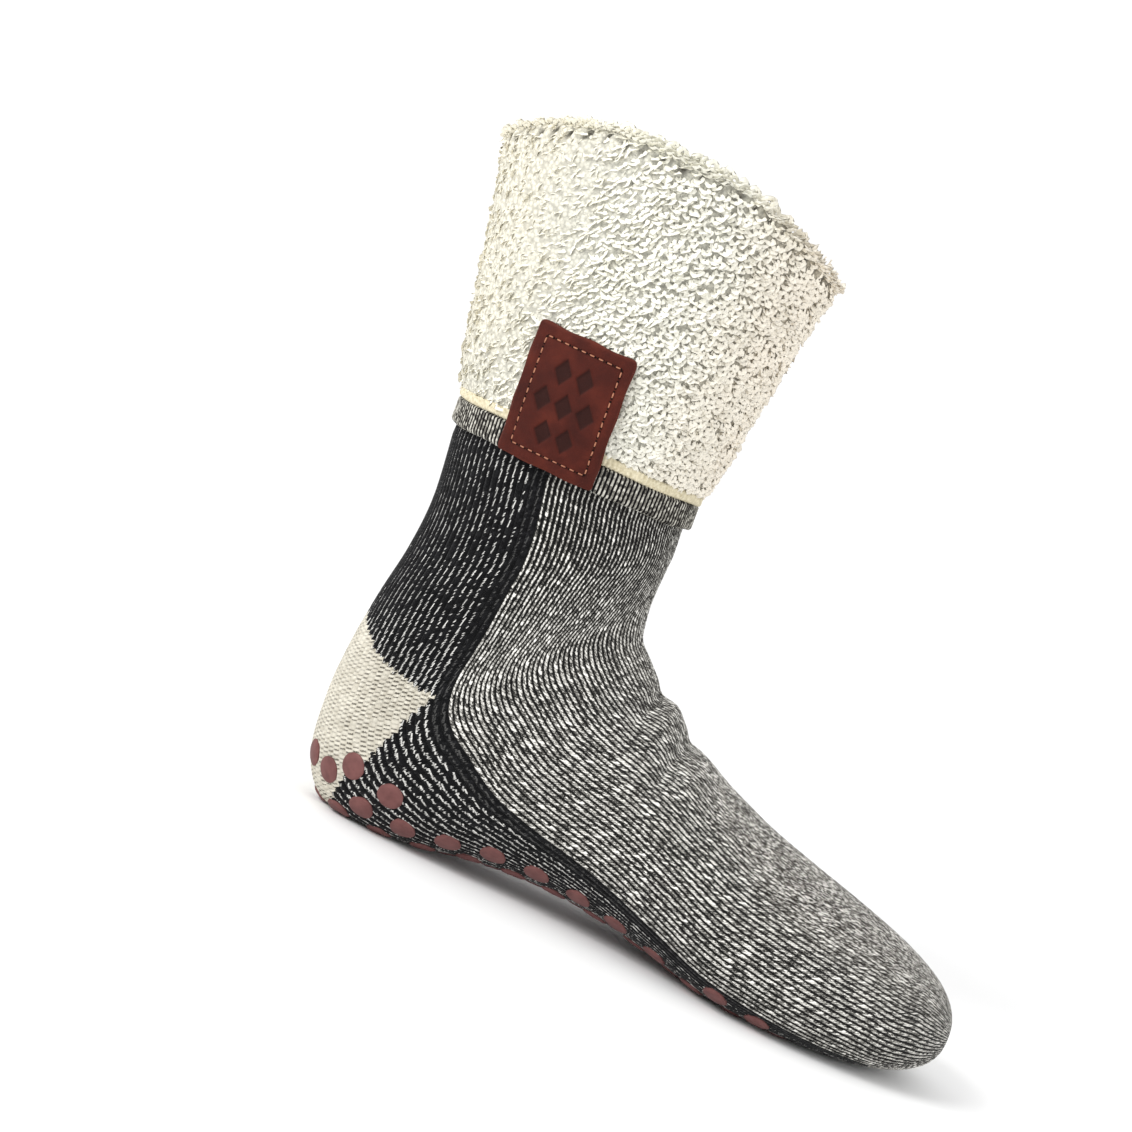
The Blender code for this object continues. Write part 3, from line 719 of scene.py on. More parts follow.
def dark_marl(add, knit):
    """Near black wool with thin straight strokes of the white ply, and small specks of it."""
    strokes = 0.0
    for length, share, width, seed in STROKES:
        start = add("TexWhiteNoise", add("CombineXYZ", knit.column, seed, 0.0))
        along = add("Math", knit.v, 1 / length, start, operation="MULTIPLY_ADD")
        cell = add("CombineXYZ", knit.column, add("Math", along, operation="FLOOR"), seed)
        dice, where = add("TexWhiteNoise", cell), add("TexWhiteNoise", cell, out=1)
        part = add("Math", add("Math", along, operation="FRACT"), 0.5, operation="SUBTRACT")
        lean = add("Math", part, 0.26, knit.across, operation="MULTIPLY_ADD")
        middle = add("MapRange", add("SeparateXYZ", where), 0.0, 1.0, 0.22, 0.78)
        gap = add("Math", add("Math", lean, middle, operation="SUBTRACT"), operation="ABSOLUTE")
        reach = add("MapRange", add("SeparateXYZ", where, out=1), 0.0, 1.0, 0.25, 0.52)
        often = add("MapRange", knit.wide, 0.85, 1.0, share * 0.8, min(share * 1.55, 0.85))
        stroke = add("MapRange", gap, width, width * 0.45)
        for factor in (
            add("Math", add("Math", part, operation="ABSOLUTE"), reach, operation="LESS_THAN"),
            add("Math", dice, often, operation="LESS_THAN"),
            add("MapRange", add("SeparateXYZ", where, out=2), 0.0, 1.0, 0.50, 1.0),
        ):
            stroke = add("Math", stroke, factor, operation="MULTIPLY")
        strokes = add("Math", strokes, stroke, operation="MAXIMUM")
    # The fibres break the strokes up, and the two ribs next to the pale panel have hardly any
    side = add("Math", knit.u, HALF_WALES, operation="PINGPONG")
    for factor in (
        add("MapRange", knit.fibre, 0.32, 0.52, 0.35, 1.0),
        add("MapRange", side, BACK_WALES - 2.3, BACK_WALES - 2.1, 1.0, 0.10),
    ):
        strokes = add("Math", strokes, factor, operation="MULTIPLY")
    tone = add("Math", knit.fibre, 0.8, operation="MULTIPLY")
    tone = add("Math", knit.fleck, 0.30, tone, operation="MULTIPLY_ADD")
    dark = add("ValToRGB", tone, stops=DARK_TONES)
    # Painted shade: the gap between ribs is darker than the rib
    on_rib = add("MapRange", knit.rib, 0.0, 1.0, 0.35, 1.0)
    dark = add("Mix", on_rib, named={6: srgb("070708"), 7: dark}, **COLOURS)
    return add("Mix", strokes, named={6: dark, 7: srgb("eae9e4")}, **COLOURS)


def cream_heel(add, knit):
    """Cream wool with short grey strokes of painted shade where one course meets the next, offset rib
    by rib, and painted shade in the gaps between ribs.
    """
    shifted = add("Math", knit.column, 0.5, operation="MULTIPLY")
    shifted = add("Math", knit.v, 0.80, shifted, operation="MULTIPLY_ADD")
    mark_row = add("Math", shifted, operation="FLOOR")
    dice = add("TexWhiteNoise", add("CombineXYZ", knit.column, mark_row, 5.0))
    bent = add("Math", knit.fibre_off, 0.5, shifted, operation="MULTIPLY_ADD")
    course = add("Math", add("Math", bent, operation="FRACT"), 0.5, operation="SUBTRACT")
    course_gap_shade = add("MapRange", add("Math", course, operation="ABSOLUTE"), 0.24, 0.34)
    # Painted shade: the strokes are weaker towards the back of the heel
    x = add("SeparateXYZ", add("TexCoord", out=3))
    for factor in (
        add("MapRange", knit.off_middle, 0.47, 0.36),
        add("MapRange", dice, 0.05, 0.60, 0.20, 1.0),
        add("MapRange", x, SHIFT, SHIFT + 0.018, 0.45, 1.0),
        add("MapRange", knit.fibre, 0.34, 0.54, 0.45, 1.0),
    ):
        course_gap_shade = add("Math", course_gap_shade, factor, operation="MULTIPLY")
    cream = add("Mix", knit.fleck, named={6: srgb("c5bfb0"), 7: srgb("dcd7c9")}, **COLOURS)
    cream = add("Mix", course_gap_shade, named={6: cream, 7: srgb("3d382e")}, **COLOURS)
    # Painted shade in the gap between ribs
    rib_gap_shade = add("MapRange", knit.rib, 0.0, 0.8, 0.25, 0.0)
    return add("Mix", rib_gap_shade, named={6: cream, 7: srgb("a9a290")}, **COLOURS)


def wool_knit():
    """Marled wool: pale in front, near black behind, with a cream heel.

    Spun wool in plain stitches. Each yarn is plied from two colours, so every stitch shows
    flecks and short strokes of the other one. A lit line on the pale ribs is painted light, and
    the gaps between ribs, and on the heel where its courses meet, are darkened as painted shade.
    The fuzz of the yarn makes it matt, with a faint sheen where it curves away.
    """
    wool = Graph("marled_wool", 0.95, Specular_IOR_Level=0.10, Sheen_Weight=0.10, Sheen_Roughness=0.5)
    add = wool.add
    knit = stitch_places(add)

    # Which yarn is where, stepped at the stitches
    side = add("Math", knit.column, 0.5, operation="ADD")
    side = add("Math", side, HALF_WALES, operation="PINGPONG")
    front = add("Math", side, float(BACK_WALES), operation="GREATER_THAN")
    toe = add("Attribute", attribute_name="toe_cap", out=2)
    toe = add("Math", knit.off_middle, 2.0, toe, operation="MULTIPLY_ADD")
    toe = add("Math", toe, 0.0, operation="GREATER_THAN")
    front = add("Math", front, toe, operation="MAXIMUM")
    jag = add("Math", knit.chance, 0.5, operation="SUBTRACT")
    jag = add("Math", jag, 1.5, operation="MULTIPLY")
    jag = add("Math", knit.off_middle, 2.4, jag, operation="MULTIPLY_ADD")
    heel = add("Math", add("Attribute", attribute_name="heel", out=2), jag, operation="ADD")
    heel = add("Math", heel, 0.6, operation="GREATER_THAN")
    heel = add("Math", heel, add("Math", 1.0, front, operation="SUBTRACT"), operation="MULTIPLY")
    colour = add("Mix", front, named={6: dark_marl(add, knit), 7: pale_marl(add, knit)}, **COLOURS)
    colour = add("Mix", heel, named={6: colour, 7: cream_heel(add, knit)}, **COLOURS)

    # Wear: soft blotches about ten ribs across
    blotch = add("TexNoise", named={"Vector": add("UVMap", uv_map="knit"), "Scale": 0.10})
    shade = add("MapRange", blotch, 0.3, 0.7, 0.85, 1.0)
    colour = add("Mix", 1.0, named={6: colour, 7: shade}, **SHADES)
    height = add("Math", knit.notch, 0.5, knit.rib, operation="MULTIPLY_ADD")
    height = add("Math", knit.fibre, 0.5, height, operation="MULTIPLY_ADD")
    return wool.finish(colour, height, depth=0.00030, strength=0.8)


def terry_wool(name, depth, tones, lumps_with_painted_shade=False):
    """Undyed wool terry: uncut loops of soft yarn, so it is matt, with a faint sheen.

    Its tones are painted light and shade: cream where the light falls at the back of the leg,
    cooler at its side and warm in the shade in front. The roots, seen between the loops, are
    darker still as painted shade. The noise is the fuzz of the yarn, 0.5 mm across. Lumps are
    loops 1.6 mm apart that lie too deep to be shape; their hollows are darkened as painted shade.
    """
    pile = Graph(name, 0.95, Specular_IOR_Level=0.1, Sheen_Weight=0.08, Sheen_Roughness=0.6)
    add = pile.add
    place = add("TexCoord", out=3)
    soft = add("TexNoise", named={"Vector": place, "Scale": 45.0})
    soft = add("Math", soft, 0.5, operation="SUBTRACT")
    x = add("Math", soft, 0.03, add("SeparateXYZ", place), operation="MULTIPLY_ADD")
    # Painted light and shade: the tone changes from the back of the cuff to its front
    along = add("MapRange", x, SHIFT - 0.020, SHIFT + 0.100)
    tone = add("ValToRGB", along, stops=tones)
    # Painted shade: the eyelet holes are coloured dark
    eyelet_hole_and_shade = add("Attribute", attribute_name="eyelet_hole_and_shade", out=2)
    tone = add("Mix", eyelet_hole_and_shade, named={6: tone, 7: srgb("4a453b")}, **COLOURS)
    fibre = add("TexNoise", named={"Vector": place, "Scale": 1900.0, "Detail": 3.0, "Roughness": 0.65})
    shade = add("MapRange", fibre, 0.3, 0.7, 0.86, 1.05)
    colour = add("Mix", 1.0, named={6: tone, 7: shade}, **SHADES)
    if lumps_with_painted_shade:
        # Painted shade in the hollows between the deeper loops
        cell = add("TexVoronoi", named={"Vector": place, "Scale": 620.0})
        painted_hollow_shade = add("MapRange", cell, 0.25, 0.75, 1.0, 0.62)
        colour = add("Mix", 1.0, named={6: colour, 7: painted_hollow_shade}, **SHADES)
        fibre = add("Math", cell, -2.0, fibre, operation="MULTIPLY_ADD")
    return pile.finish(colour, fibre, depth=depth, strength=0.7)


def knit_sections():
    """The knit's sections from the toe tip to its top."""
    levels = [HEM_HEIGHT + 0.002, HEM_HEIGHT + 0.006]
    levels += list(np.linspace(HEM_HEIGHT + 0.014, BODY_TOP, 11))
    return spaced_sections(LOWER, KNIT_RING_SPACING) + [level_section(level) for level in levels]


def knit_fields(points, wale):
    """What the wool reads besides its map, worked out from places in the side view.

    "heel" and "toe_cap" are mm inside each one's edge. "speckle" is the share of mixed marl, on
    top of the foot and a little up the shin, and "foot" goes from 0 on the leg to 1 on the foot.
    """
    x, z = points[..., 0] / MM, points[..., 2] / MM
    heel_top = np.interp(x, *np.array(HEEL_TOP).T)
    heel_front = np.interp(z, *np.array(HEEL_FRONT).T)
    on_top = ease((x - 100) / 60) * ease((z - np.interp(x, (100, 180, 258), (80, 34, 22))) / 18)
    from_shin = np.abs(wale - HALF_WALES)
    up_leg = ease((17 - from_shin) / 13)[None] * ease((160 - z) / 20)
    return {
        "heel": np.minimum(heel_top - z, heel_front - x),
        "toe_cap": x - TOE_CAP_START,
        "speckle": np.maximum(0.8 * on_top, 0.25 * up_leg),
        "foot": ease((150 - z) / 90),
    }


def knit_piece():
    """The knit's face: rings of the part's sections, with real ribs and the ankle's creases."""
    sections = knit_sections()
    panel = smoothed(np.array([panel_share(section) for section in sections]), 5)
    rows = []
    for section, share in zip(sections, panel):
        shares, wale = column_shares(share, half_curve(section)[1][-1])
        rows.append(ring_at(section, shares))
    points = np.array(rows)
    points = points - grid_normals(points) * crease_depth(points)[..., None]
    steps = np.linalg.norm(np.diff(points, axis=0), axis=2)
    along = np.concatenate((np.zeros((1, points.shape[1])), np.cumsum(steps, axis=0)))
    along = along[-1:] - along
    pitch = np.linalg.norm(np.diff(points, axis=1), axis=2) * STEPS_PER_WALE
    pitch = np.concatenate((pitch, pitch[:, -1:]), axis=1)
    fields = knit_fields(points, wale)

    # The gap between two ribs lies on every fourth column and the rib's crown between two gaps
    phase = wale % 1
    profile = np.where(phase == 0, -1.0, np.where(phase == 0.5, 1.0, 0.3))
    height = np.minimum(RIB_SHARE * pitch, RIB_LIMIT)
    height = height * np.where(fields["heel"] > 1, 0.55, 1.0) * (1 - 0.4 * fields["speckle"])
    points = points + grid_normals(points) * (profile[None, :] * height)[..., None]
    points[..., 2] = np.maximum(points[..., 2], KNIT_BOTTOM - 0.00025)
    points[:, -1] = points[:, 0]
    uv = np.stack((np.broadcast_to(wale, along.shape), along / COURSE_PITCH), axis=-1)
    made = grid_object("sock_knit", points, wool_knit(), uv=uv, fields=fields)
    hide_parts("knit_body")


def terry_profile():
    """(offset, level) points of the terry from its lower edge over the fold to the inside."""
    height = BODY_TOP - TERRY_BOTTOM
    places = np.linspace(0, 1, 34)
    shares = [row.height for row in TERRY_ROWS]
    thick = np.interp(places, [*shares, 1.0], [*[row.thickness for row in TERRY_ROWS], 1.0])
    outer = CLEARANCE + TERRY_THICKNESS * thick - TERRY_SINK
    profile = [(0.0004, TERRY_BOTTOM + 0.0004)]
    profile += list(zip(outer, TERRY_BOTTOM + 0.0010 + (height - 0.0010) * places))
    reach = CLEARANCE + TERRY_THICKNESS
    middle, half = (reach - WALL) / 2, (reach + WALL) / 2 - TERRY_SINK
    spring = BODY_TOP + CLEARANCE
    rise = SHAFT_HEIGHT - spring - TERRY_SINK
    for turn in np.linspace(0, math.pi, 9)[1:]:
        profile.append((middle + half * math.cos(turn), spring + rise * math.sin(turn)))
    for drop in np.linspace(0, 1, 9)[1:]:
        profile.append((blend(middle - half, -WALL * 0.8, drop), spring - LINED_DEPTH * drop))
    return profile


def cuff_grid(profile, shares):
    """Rings round the shaft for (offset, level) points."""
    rows = []
    for offset, level in profile:
        section = level_section(min(level, BODY_TOP))
        rows.append(ring_at(section, shares, offset, max(level - BODY_TOP, 0.0)))
    return np.array(rows)


def round_shares(columns):
    """Shares all round from the back: 1 to 0 on the right, then below nought on the left."""
    turn = np.linspace(0, 2, columns + 1)
    return np.where(turn <= 1, 1 - turn, -(turn - 1))


def loop_template():
    """One loop of yarn, a tube bent round most of a turn and a little out of its plane."""
    shape = bmesh.new()
    made = bmesh.ops.create_circle(shape, cap_ends=False, segments=LOOP_SIDES, radius=YARN_RADIUS)
    place = Matrix.Translation((LOOP_RADIUS, 0, 0)) @ Matrix.Rotation(math.pi / 2, 4, "X")
    start = Matrix.Rotation(-(math.pi / 2 - (math.pi - LOOP_ARC / 2)), 4, "Y")
    bmesh.ops.transform(shape, matrix=start @ place, verts=made["verts"])
    bmesh.ops.spin(
        shape,
        geom=shape.verts[:] + shape.edges[:],
        cent=(0, 0, 0),
        axis=(0, -1, 0),
        angle=LOOP_ARC,
        steps=LOOP_STEPS,
    )
    bmesh.ops.recalc_face_normals(shape, faces=shape.faces)
    mesh = bpy.data.meshes.new("loop")
    shape.to_mesh(mesh)
    shape.free()
    points = np.array([vertex.co for vertex in mesh.vertices])
    faces = np.array([tuple(face.vertices) for face in mesh.polygons])
    bpy.data.meshes.remove(mesh)
    points[:, 1] += 0.35 * MM * np.sin(2.2 * points[:, 0] / LOOP_RADIUS)
    points[:, 2] += 0.95 * LOOP_RADIUS
    return points, faces


def turned(shapes, one, other, angle):
    """Shapes turned, each by its own angle, from one axis to another."""
    made = shapes.copy()
    cosine, sine = np.cos(angle)[:, None], np.sin(angle)[:, None]
    made[..., one] = shapes[..., one] * cosine - shapes[..., other] * sine
    made[..., other] = shapes[..., one] * sine + shapes[..., other] * cosine
    return made


def yarn_loops(name, places, frames, upright, dice, material):
    """Copies of the loop at places, each turned, leaning and sized by chance, as one mesh."""
    points, faces = loop_template()
    count = len(places)
    yaw = dice.normal(0.35, 0.42, count) * (1 - 0.7 * upright)
    lean = dice.normal(1.0, 0.22, count) * (1 - 0.85 * upright)
    size = dice.uniform(0.95, 1.28, count) * (1 + 0.28 * upright)
    bend = dice.normal(0, 0.35, (count, 1))
    shapes = points[None] * size[:, None, None]
    shapes[..., 0] += bend * shapes[..., 2]
    shapes = turned(turned(shapes, 1, 2, lean), 0, 1, yaw)
    placed = np.einsum("cpk,ckj->cpj", shapes, frames) + places[:, None, :]
    ends = faces[None] + (np.arange(count) * len(points))[:, None, None]
    mesh = bpy.data.meshes.new("loops")
    mesh.vertices.add(count * len(points))
    mesh.vertices.foreach_set("co", placed.reshape(-1).astype(np.float32))
    mesh.loops.add(ends.size)
    mesh.loops.foreach_set("vertex_index", ends.reshape(-1).astype(np.int32))
    mesh.polygons.add(count * len(faces))
    mesh.polygons.foreach_set("loop_start", np.arange(0, ends.size, 4, dtype=np.int32))
    mesh.update(calc_edges=True)
    shape = bmesh.new()
    shape.from_mesh(mesh)
    bpy.data.meshes.remove(mesh)
    return placed_object(name, shape, material)


# The base under the pile: its grid and normals, the way up to each of its rings from the terry's
# lower edge, the way up to the rim, and how many loops go round
TerryBase = namedtuple("TerryBase", "points normals lengths crest columns")


def terry_base():
    """The pile's lumpy base, filled up between the loops where the back of the cuff is matted."""
    points = cuff_grid(terry_profile(), round_shares(CUFF_COLUMNS))
    normals = grid_normals(points)
    side = CUFF_COLUMNS // 4
    crest = points[:, side, 2].argmax()
    steps = np.linalg.norm(np.diff(points[:, side], axis=0), axis=1)
    lengths = np.concatenate(([0], np.cumsum(steps)))
    around = np.linalg.norm(np.diff(points[20], axis=0), axis=1).sum()
    columns = int(around / LOOP_SPACING)

    # The row of small holes below the rim, one to every third loop, left unfilled and coloured dark as
    # painted shade
    below = (lengths[crest] - EYELETS_BELOW_RIM - lengths) / EYELET_REACH
    hole = np.cos(np.arange(CUFF_COLUMNS + 1) / CUFF_COLUMNS * columns / EYELET_EVERY * math.tau)
    eyelet_hole_and_shade = np.exp(-(below**2))[:, None] * ease((hole - 0.2) / 0.6)
    matted = blend(MATTED_FILL, OPEN_FILL, ease((points[..., 0] + 0.002) / 0.050))
    matted = matted * (1 - eyelet_hole_and_shade) * (points[..., 2] < points[crest, :, 2] - 0.0005)
    roots = terry_wool("wool_pile_roots_painted_shade", 0.0006, ROOT_SHADE_TONES, lumps_with_painted_shade=True)
    filled = points + normals * matted[..., None]
    made = grid_object("terry_base", filled, roots, fields={"eyelet_hole_and_shade": eyelet_hole_and_shade})
    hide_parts("terry_cuff")
    return TerryBase(points, normals, lengths, lengths[crest], columns)


def sampled(grid, up, turn):
    """Values of a grid at fractional places in its rows and columns."""
    row = np.clip(up.astype(int), 0, grid.shape[0] - 2)
    column = np.clip(turn.astype(int), 0, grid.shape[1] - 2)
    part_up, part_turn = (up - row)[..., None], (turn - column)[..., None]
    low = blend(grid[row, column], grid[row, column + 1], part_turn)
    high = blend(grid[row + 1, column], grid[row + 1, column + 1], part_turn)
    return blend(low, high, part_up)


def terry_loops(base):
    """Loops of yarn all over the base, upright along the rim, in four pieces round the cuff."""
    dice = np.random.RandomState(11)
    pile = terry_wool("looped_wool_pile", 0.00012, PILE_TONES)
    rows = int((base.lengths[-1] - BARE_INSIDE) / LOOP_ROW_SPACING) + len(RIM_ROWS)
    row, column = np.meshgrid(np.arange(rows), np.arange(base.columns), indexing="ij")
    climb = LOWEST_LOOPS + (row - len(RIM_ROWS)) * LOOP_ROW_SPACING
    for k, beside in enumerate(RIM_ROWS):
        climb[k] = base.crest + beside
    climb += dice.normal(0, ROW_SCATTER, row.shape)
    turn = column + 0.5 * (row % 2) + dice.normal(0, COLUMN_SCATTER, row.shape)
    turn = np.mod(turn / base.columns * CUFF_COLUMNS, CUFF_COLUMNS)
    up = np.interp(climb, base.lengths, np.arange(len(base.lengths)))

    outward = sampled(base.normals, up, turn)
    outward /= np.linalg.norm(outward, axis=2, keepdims=True)
    along = sampled(np.gradient(base.points, axis=0), up, turn)
    along -= (along * outward).sum(2, keepdims=True) * outward
    along /= np.linalg.norm(along, axis=2, keepdims=True)
    frames = np.stack((np.cross(along, outward), along, outward), axis=-2)
    place = sampled(base.points, up, turn)

    # No loop stands on a hole, and the rim's own row has half of them
    in_eyelet_row = np.abs(climb - base.crest + EYELETS_BELOW_RIM) < LOOP_ROW_SPACING / 2
    kept = ~(in_eyelet_row & (column % EYELET_EVERY == 0)) & ~((row == 1) & (column % 2 == 0))
    quarter = np.minimum((turn / (CUFF_COLUMNS / 4)).astype(int), 3)
    for k in range(4):
        pick = (quarter == k) & kept
        upright = (row[pick] < len(RIM_ROWS)).astype(float)
        piece = yarn_loops(f"terry_loops_{k + 1}", place[pick], frames[pick], upright, dice, pile)


def sock_lining():
    """The cream lining inside, which closes to a point in the toe."""
    levels = np.linspace(HEM_HEIGHT, BODY_TOP - LINED_DEPTH * 0.6, 12)
    sections = spaced_sections(LOWER, 0.006) + [level_section(level) for level in levels]
    lining = np.array([ring_at(section, round_shares(120), -WALL) for section in sections])
    lining[0] = lining[0].mean(0)
    lining[:, -1] = lining[:, 0]
    # The backing's lumps carry painted shade in their hollows
    backing = terry_wool("wool_pile_backing", 0.0004, PILE_TONES, lumps_with_painted_shade=True)
    made = grid_object("sock_lining", lining[:, ::-1], backing)


def welt_wool():
    """Marled wool in rib stitch: pale flecks on each rib, its crown lighter as painted light, and
    painted shade that makes the gap between ribs nearly black.
    """
    wool = Graph("ribbed_marled_wool", 0.95, Specular_IOR_Level=0.12)
    add = wool.add
    place = add("UVMap", uv_map="knit")
    u, v = add("SeparateXYZ", place), add("SeparateXYZ", place, out=1)
    off_middle = add("Math", add("Math", u, operation="FRACT"), 0.5, operation="SUBTRACT")
    off_middle = add("Math", off_middle, operation="ABSOLUTE")
    rib = add("MapRange", off_middle, 0.40, 0.18)
    row = add("Math", v, 1.3, operation="MULTIPLY")
    row = add("Math", off_middle, 1.4, row, operation="MULTIPLY_ADD")
    row = add("Math", row, operation="FLOOR")
    half = add("CombineXYZ", add("Math", u, operation="FLOOR"), row, 1.0)
    fleck = add("TexWhiteNoise", half)
    fine = add("CombineXYZ", add("Math", u, 4.0, operation="MULTIPLY"), v, 0.0)
    fibre = add("TexNoise", named={"Vector": fine, "Scale": 1.6, "Detail": 3.0})
    value = add("Math", rib, 0.36, operation="MULTIPLY")
    value = add("Math", fleck, 0.42, value, operation="MULTIPLY_ADD")
    fibre_off = add("Math", fibre, 0.5, operation="SUBTRACT")
    value = add("Math", fibre_off, 0.8, value, operation="MULTIPLY_ADD")
    pale = add("ValToRGB", value, stops=WELT_TONES)
    # Painted shade: the gap between ribs is coloured nearly black
    gap = add("MapRange", off_middle, 0.34, 0.20)
    colour = add("Mix", gap, named={6: srgb("101012"), 7: pale}, **COLOURS)
    return wool.finish(colour, fibre, 0.0003, 0.6)


def cuff_welt():
    """The ribbed end of the turned-down top, which waves a little along its lower edge."""
    low, high = HEM_HEIGHT, HEM_HEIGHT + WELT_HEIGHT
    inner, outer = CLEARANCE, CLEARANCE + WELT_THICKNESS
    profile = [(inner, low + 0.0004), (inner + 0.0006, low)]
    profile += [(outer - 0.0007, low), (outer - 0.0001, low + 0.0008)]
    profile += [(outer, level) for level in np.linspace(low + 0.0018, high - 0.0006, 7)]
    profile += [(outer - 0.0008, high + 0.0002), (inner, high + 0.0002)]
    points = cuff_grid(profile, round_shares(WELT_RIBS * WELT_STEPS))
    wale = np.arange(points.shape[1]) / WELT_STEPS
    phase = wale % 1
    ridge = np.where(phase == 0, -0.36, np.where(phase == 0.5, 0.20, 0.05)) * MM
    offset, level = np.array(profile).T
    outer_face = offset > inner + 0.0005
    points += grid_normals(points) * (ridge[None] * outer_face[:, None])[..., None]
    turn = np.arange(points.shape[1]) / points.shape[1] * math.tau
    points[:5, :, 2] += WELT_WAVE * np.sin(turn * 9)[None]
    points[:, -1] = points[:, 0]
    uv = np.stack(np.broadcast_arrays(wale[None], (level / COURSE_PITCH)[:, None]), axis=-1)
    welt = grid_object("sock_welt", points, welt_wool(), uv=uv)
    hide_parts("cuff_welt")


def elastic_binding():
    """Elastic binding, woven from dull cream yarn: matt, in two close tones of cream."""
    tape = Graph("elastic_binding", 0.85, Sheen_Weight=0.1)
    place = tape.add("TexCoord", out=3)
    weave = tape.add("TexNoise", named={"Vector": place, "Scale": 900.0, "Detail": 3.0})
    colour = tape.add("ValToRGB", weave, stops=((0.3, "b9ae8e"), (0.7, "e0d7bc")))
    return tape.finish(colour, weave, 0.0003, 0.6)


def cuff_binding():
    """The narrow binding between terry and welt, with fine upright cords."""
    inner, outer = CLEARANCE, CLEARANCE + EDGING_THICKNESS - 0.0006
    low, high = EDGING_BOTTOM, EDGING_BOTTOM + EDGING_HEIGHT
    profile = [(inner, low), (outer - 0.0008, low), (outer - 0.0001, low + 0.0003)]
    profile += [(outer + 0.0001, low + 0.0009), (outer, high - 0.0009), (outer, high - 0.0001)]
    profile += [(outer - 0.0005, high + 0.0003), (inner, high + 0.0003)]
    points = cuff_grid(profile, round_shares(BINDING_COLUMNS))
    turn = np.arange(BINDING_COLUMNS + 1) / BINDING_COLUMNS * math.tau
    points += grid_normals(points) * (CORD_DEPTH * np.sin(turn * BINDING_CORDS))[None, :, None]
    points[..., 2] += BINDING_WAVE * np.sin(turn * 7 + 1)[None]
    points[:, -1] = points[:, 0]
    binding = grid_object("sock_binding", points, elastic_binding())
    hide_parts("cuff_edging")


def cuff_face(level):
    """How far the cuff's outer face stands from the knit at a height."""
    if level < TERRY_BOTTOM:
        return CLEARANCE + max(EDGING_THICKNESS, WELT_THICKNESS) * (level > EDGING_BOTTOM) + (
            WELT_THICKNESS * (level <= EDGING_BOTTOM)
        )
    share = (level - TERRY_BOTTOM) / (BODY_TOP - TERRY_BOTTOM)
    rows = [row.height for row in TERRY_ROWS]
    return CLEARANCE + TERRY_THICKNESS * np.interp(share, rows, [row.thickness for row in TERRY_ROWS])


def side_points(level, along, offset):
    """Points on the right side of the shaft, at signed arc lengths in front of its side line."""
    section = level_section(min(level, BODY_TOP))
    curve, lengths = half_curve(section, offset)
    waist = lengths[curve[:, 0].argmax()]
    wanted = waist - along
    flat = np.column_stack([np.interp(wanted, lengths, curve[:, k]) for k in (0, 1)])
    return in_space(section, flat, 0.0, offset)


def patch_point(a, z, rise):
    """A point above the face that the patch lies on, at (a, z) from the patch's middle."""
    height = HEM_HEIGHT + PATCH_HEIGHT / 2 + z
    reach = PATCH_HEIGHT / 8
    nodes = HEM_HEIGHT + PATCH_HEIGHT * np.arange(9) / 8
    near = [[cuff_face(node + reach * k / 4) for k in range(-2, 5)] for node in nodes]
    stand = np.interp(height, nodes, CLEARANCE + np.max(near, axis=1))
    return side_points(height, np.array((a - PATCH_SETBACK,)), stand + rise)[0]


def rhombus_field(a, z):
    """How far inside the nearest pressed rhombus a point lies, in metres."""
    best = np.full(np.shape(a), -1.0)
    for across, up in RHOMBI:
        x = np.abs(a - across * (RHOMBUS_WIDTH + 0.0009)) / (RHOMBUS_WIDTH / 2)
        y = np.abs(z - up * (RHOMBUS_HEIGHT + 0.0006)) / (RHOMBUS_HEIGHT / 2)
        best = np.maximum(best, (1 - x - y) * 0.0024)
    return best


def patch_relief(a, z):
    """Height of the patch's face at (a, z): an eased edge, a stitched groove and pressed shapes."""
    from_edge = np.minimum(PATCH_WIDTH / 2 - np.abs(a), PATCH_HEIGHT / 2 - np.abs(z))
    groove = -0.00022 * np.exp(-(((STITCH_INSET - from_edge) / 0.0006) ** 2))
    eased = -0.00045 * np.clip(1 - from_edge / 0.0010, 0, 1) ** 2
    return groove + eased - PRESS_DEPTH * ease((rhombus_field(a, z) + 0.0001) / 0.0006)


def rounded_corners(a, z):
    """The patch's grid with its corners drawn in to quarter circles."""
    flat_a, flat_z = PATCH_WIDTH / 2 - PATCH_CORNER, PATCH_HEIGHT / 2 - PATCH_CORNER
    past_a, past_z = np.abs(a) - flat_a, np.abs(z) - flat_z
    scale = np.maximum(past_a, past_z) / np.maximum(np.hypot(past_a, past_z), 1e-9)
    corner = (past_a > 0) & (past_z > 0)
    round_a = np.where(corner, np.sign(a) * (flat_a + past_a * scale), a)
    round_z = np.where(corner, np.sign(z) * (flat_z + past_z * scale), z)
    return round_a, round_z


def sheet_normals(points):
    """Unit normals of an open sheet, away from the leg on the right side."""
    normal = np.cross(np.gradient(points, axis=1), np.gradient(points, axis=0))
    normal /= np.linalg.norm(normal, axis=2, keepdims=True)
    return normal if normal[..., 1].mean() < 0 else -normal


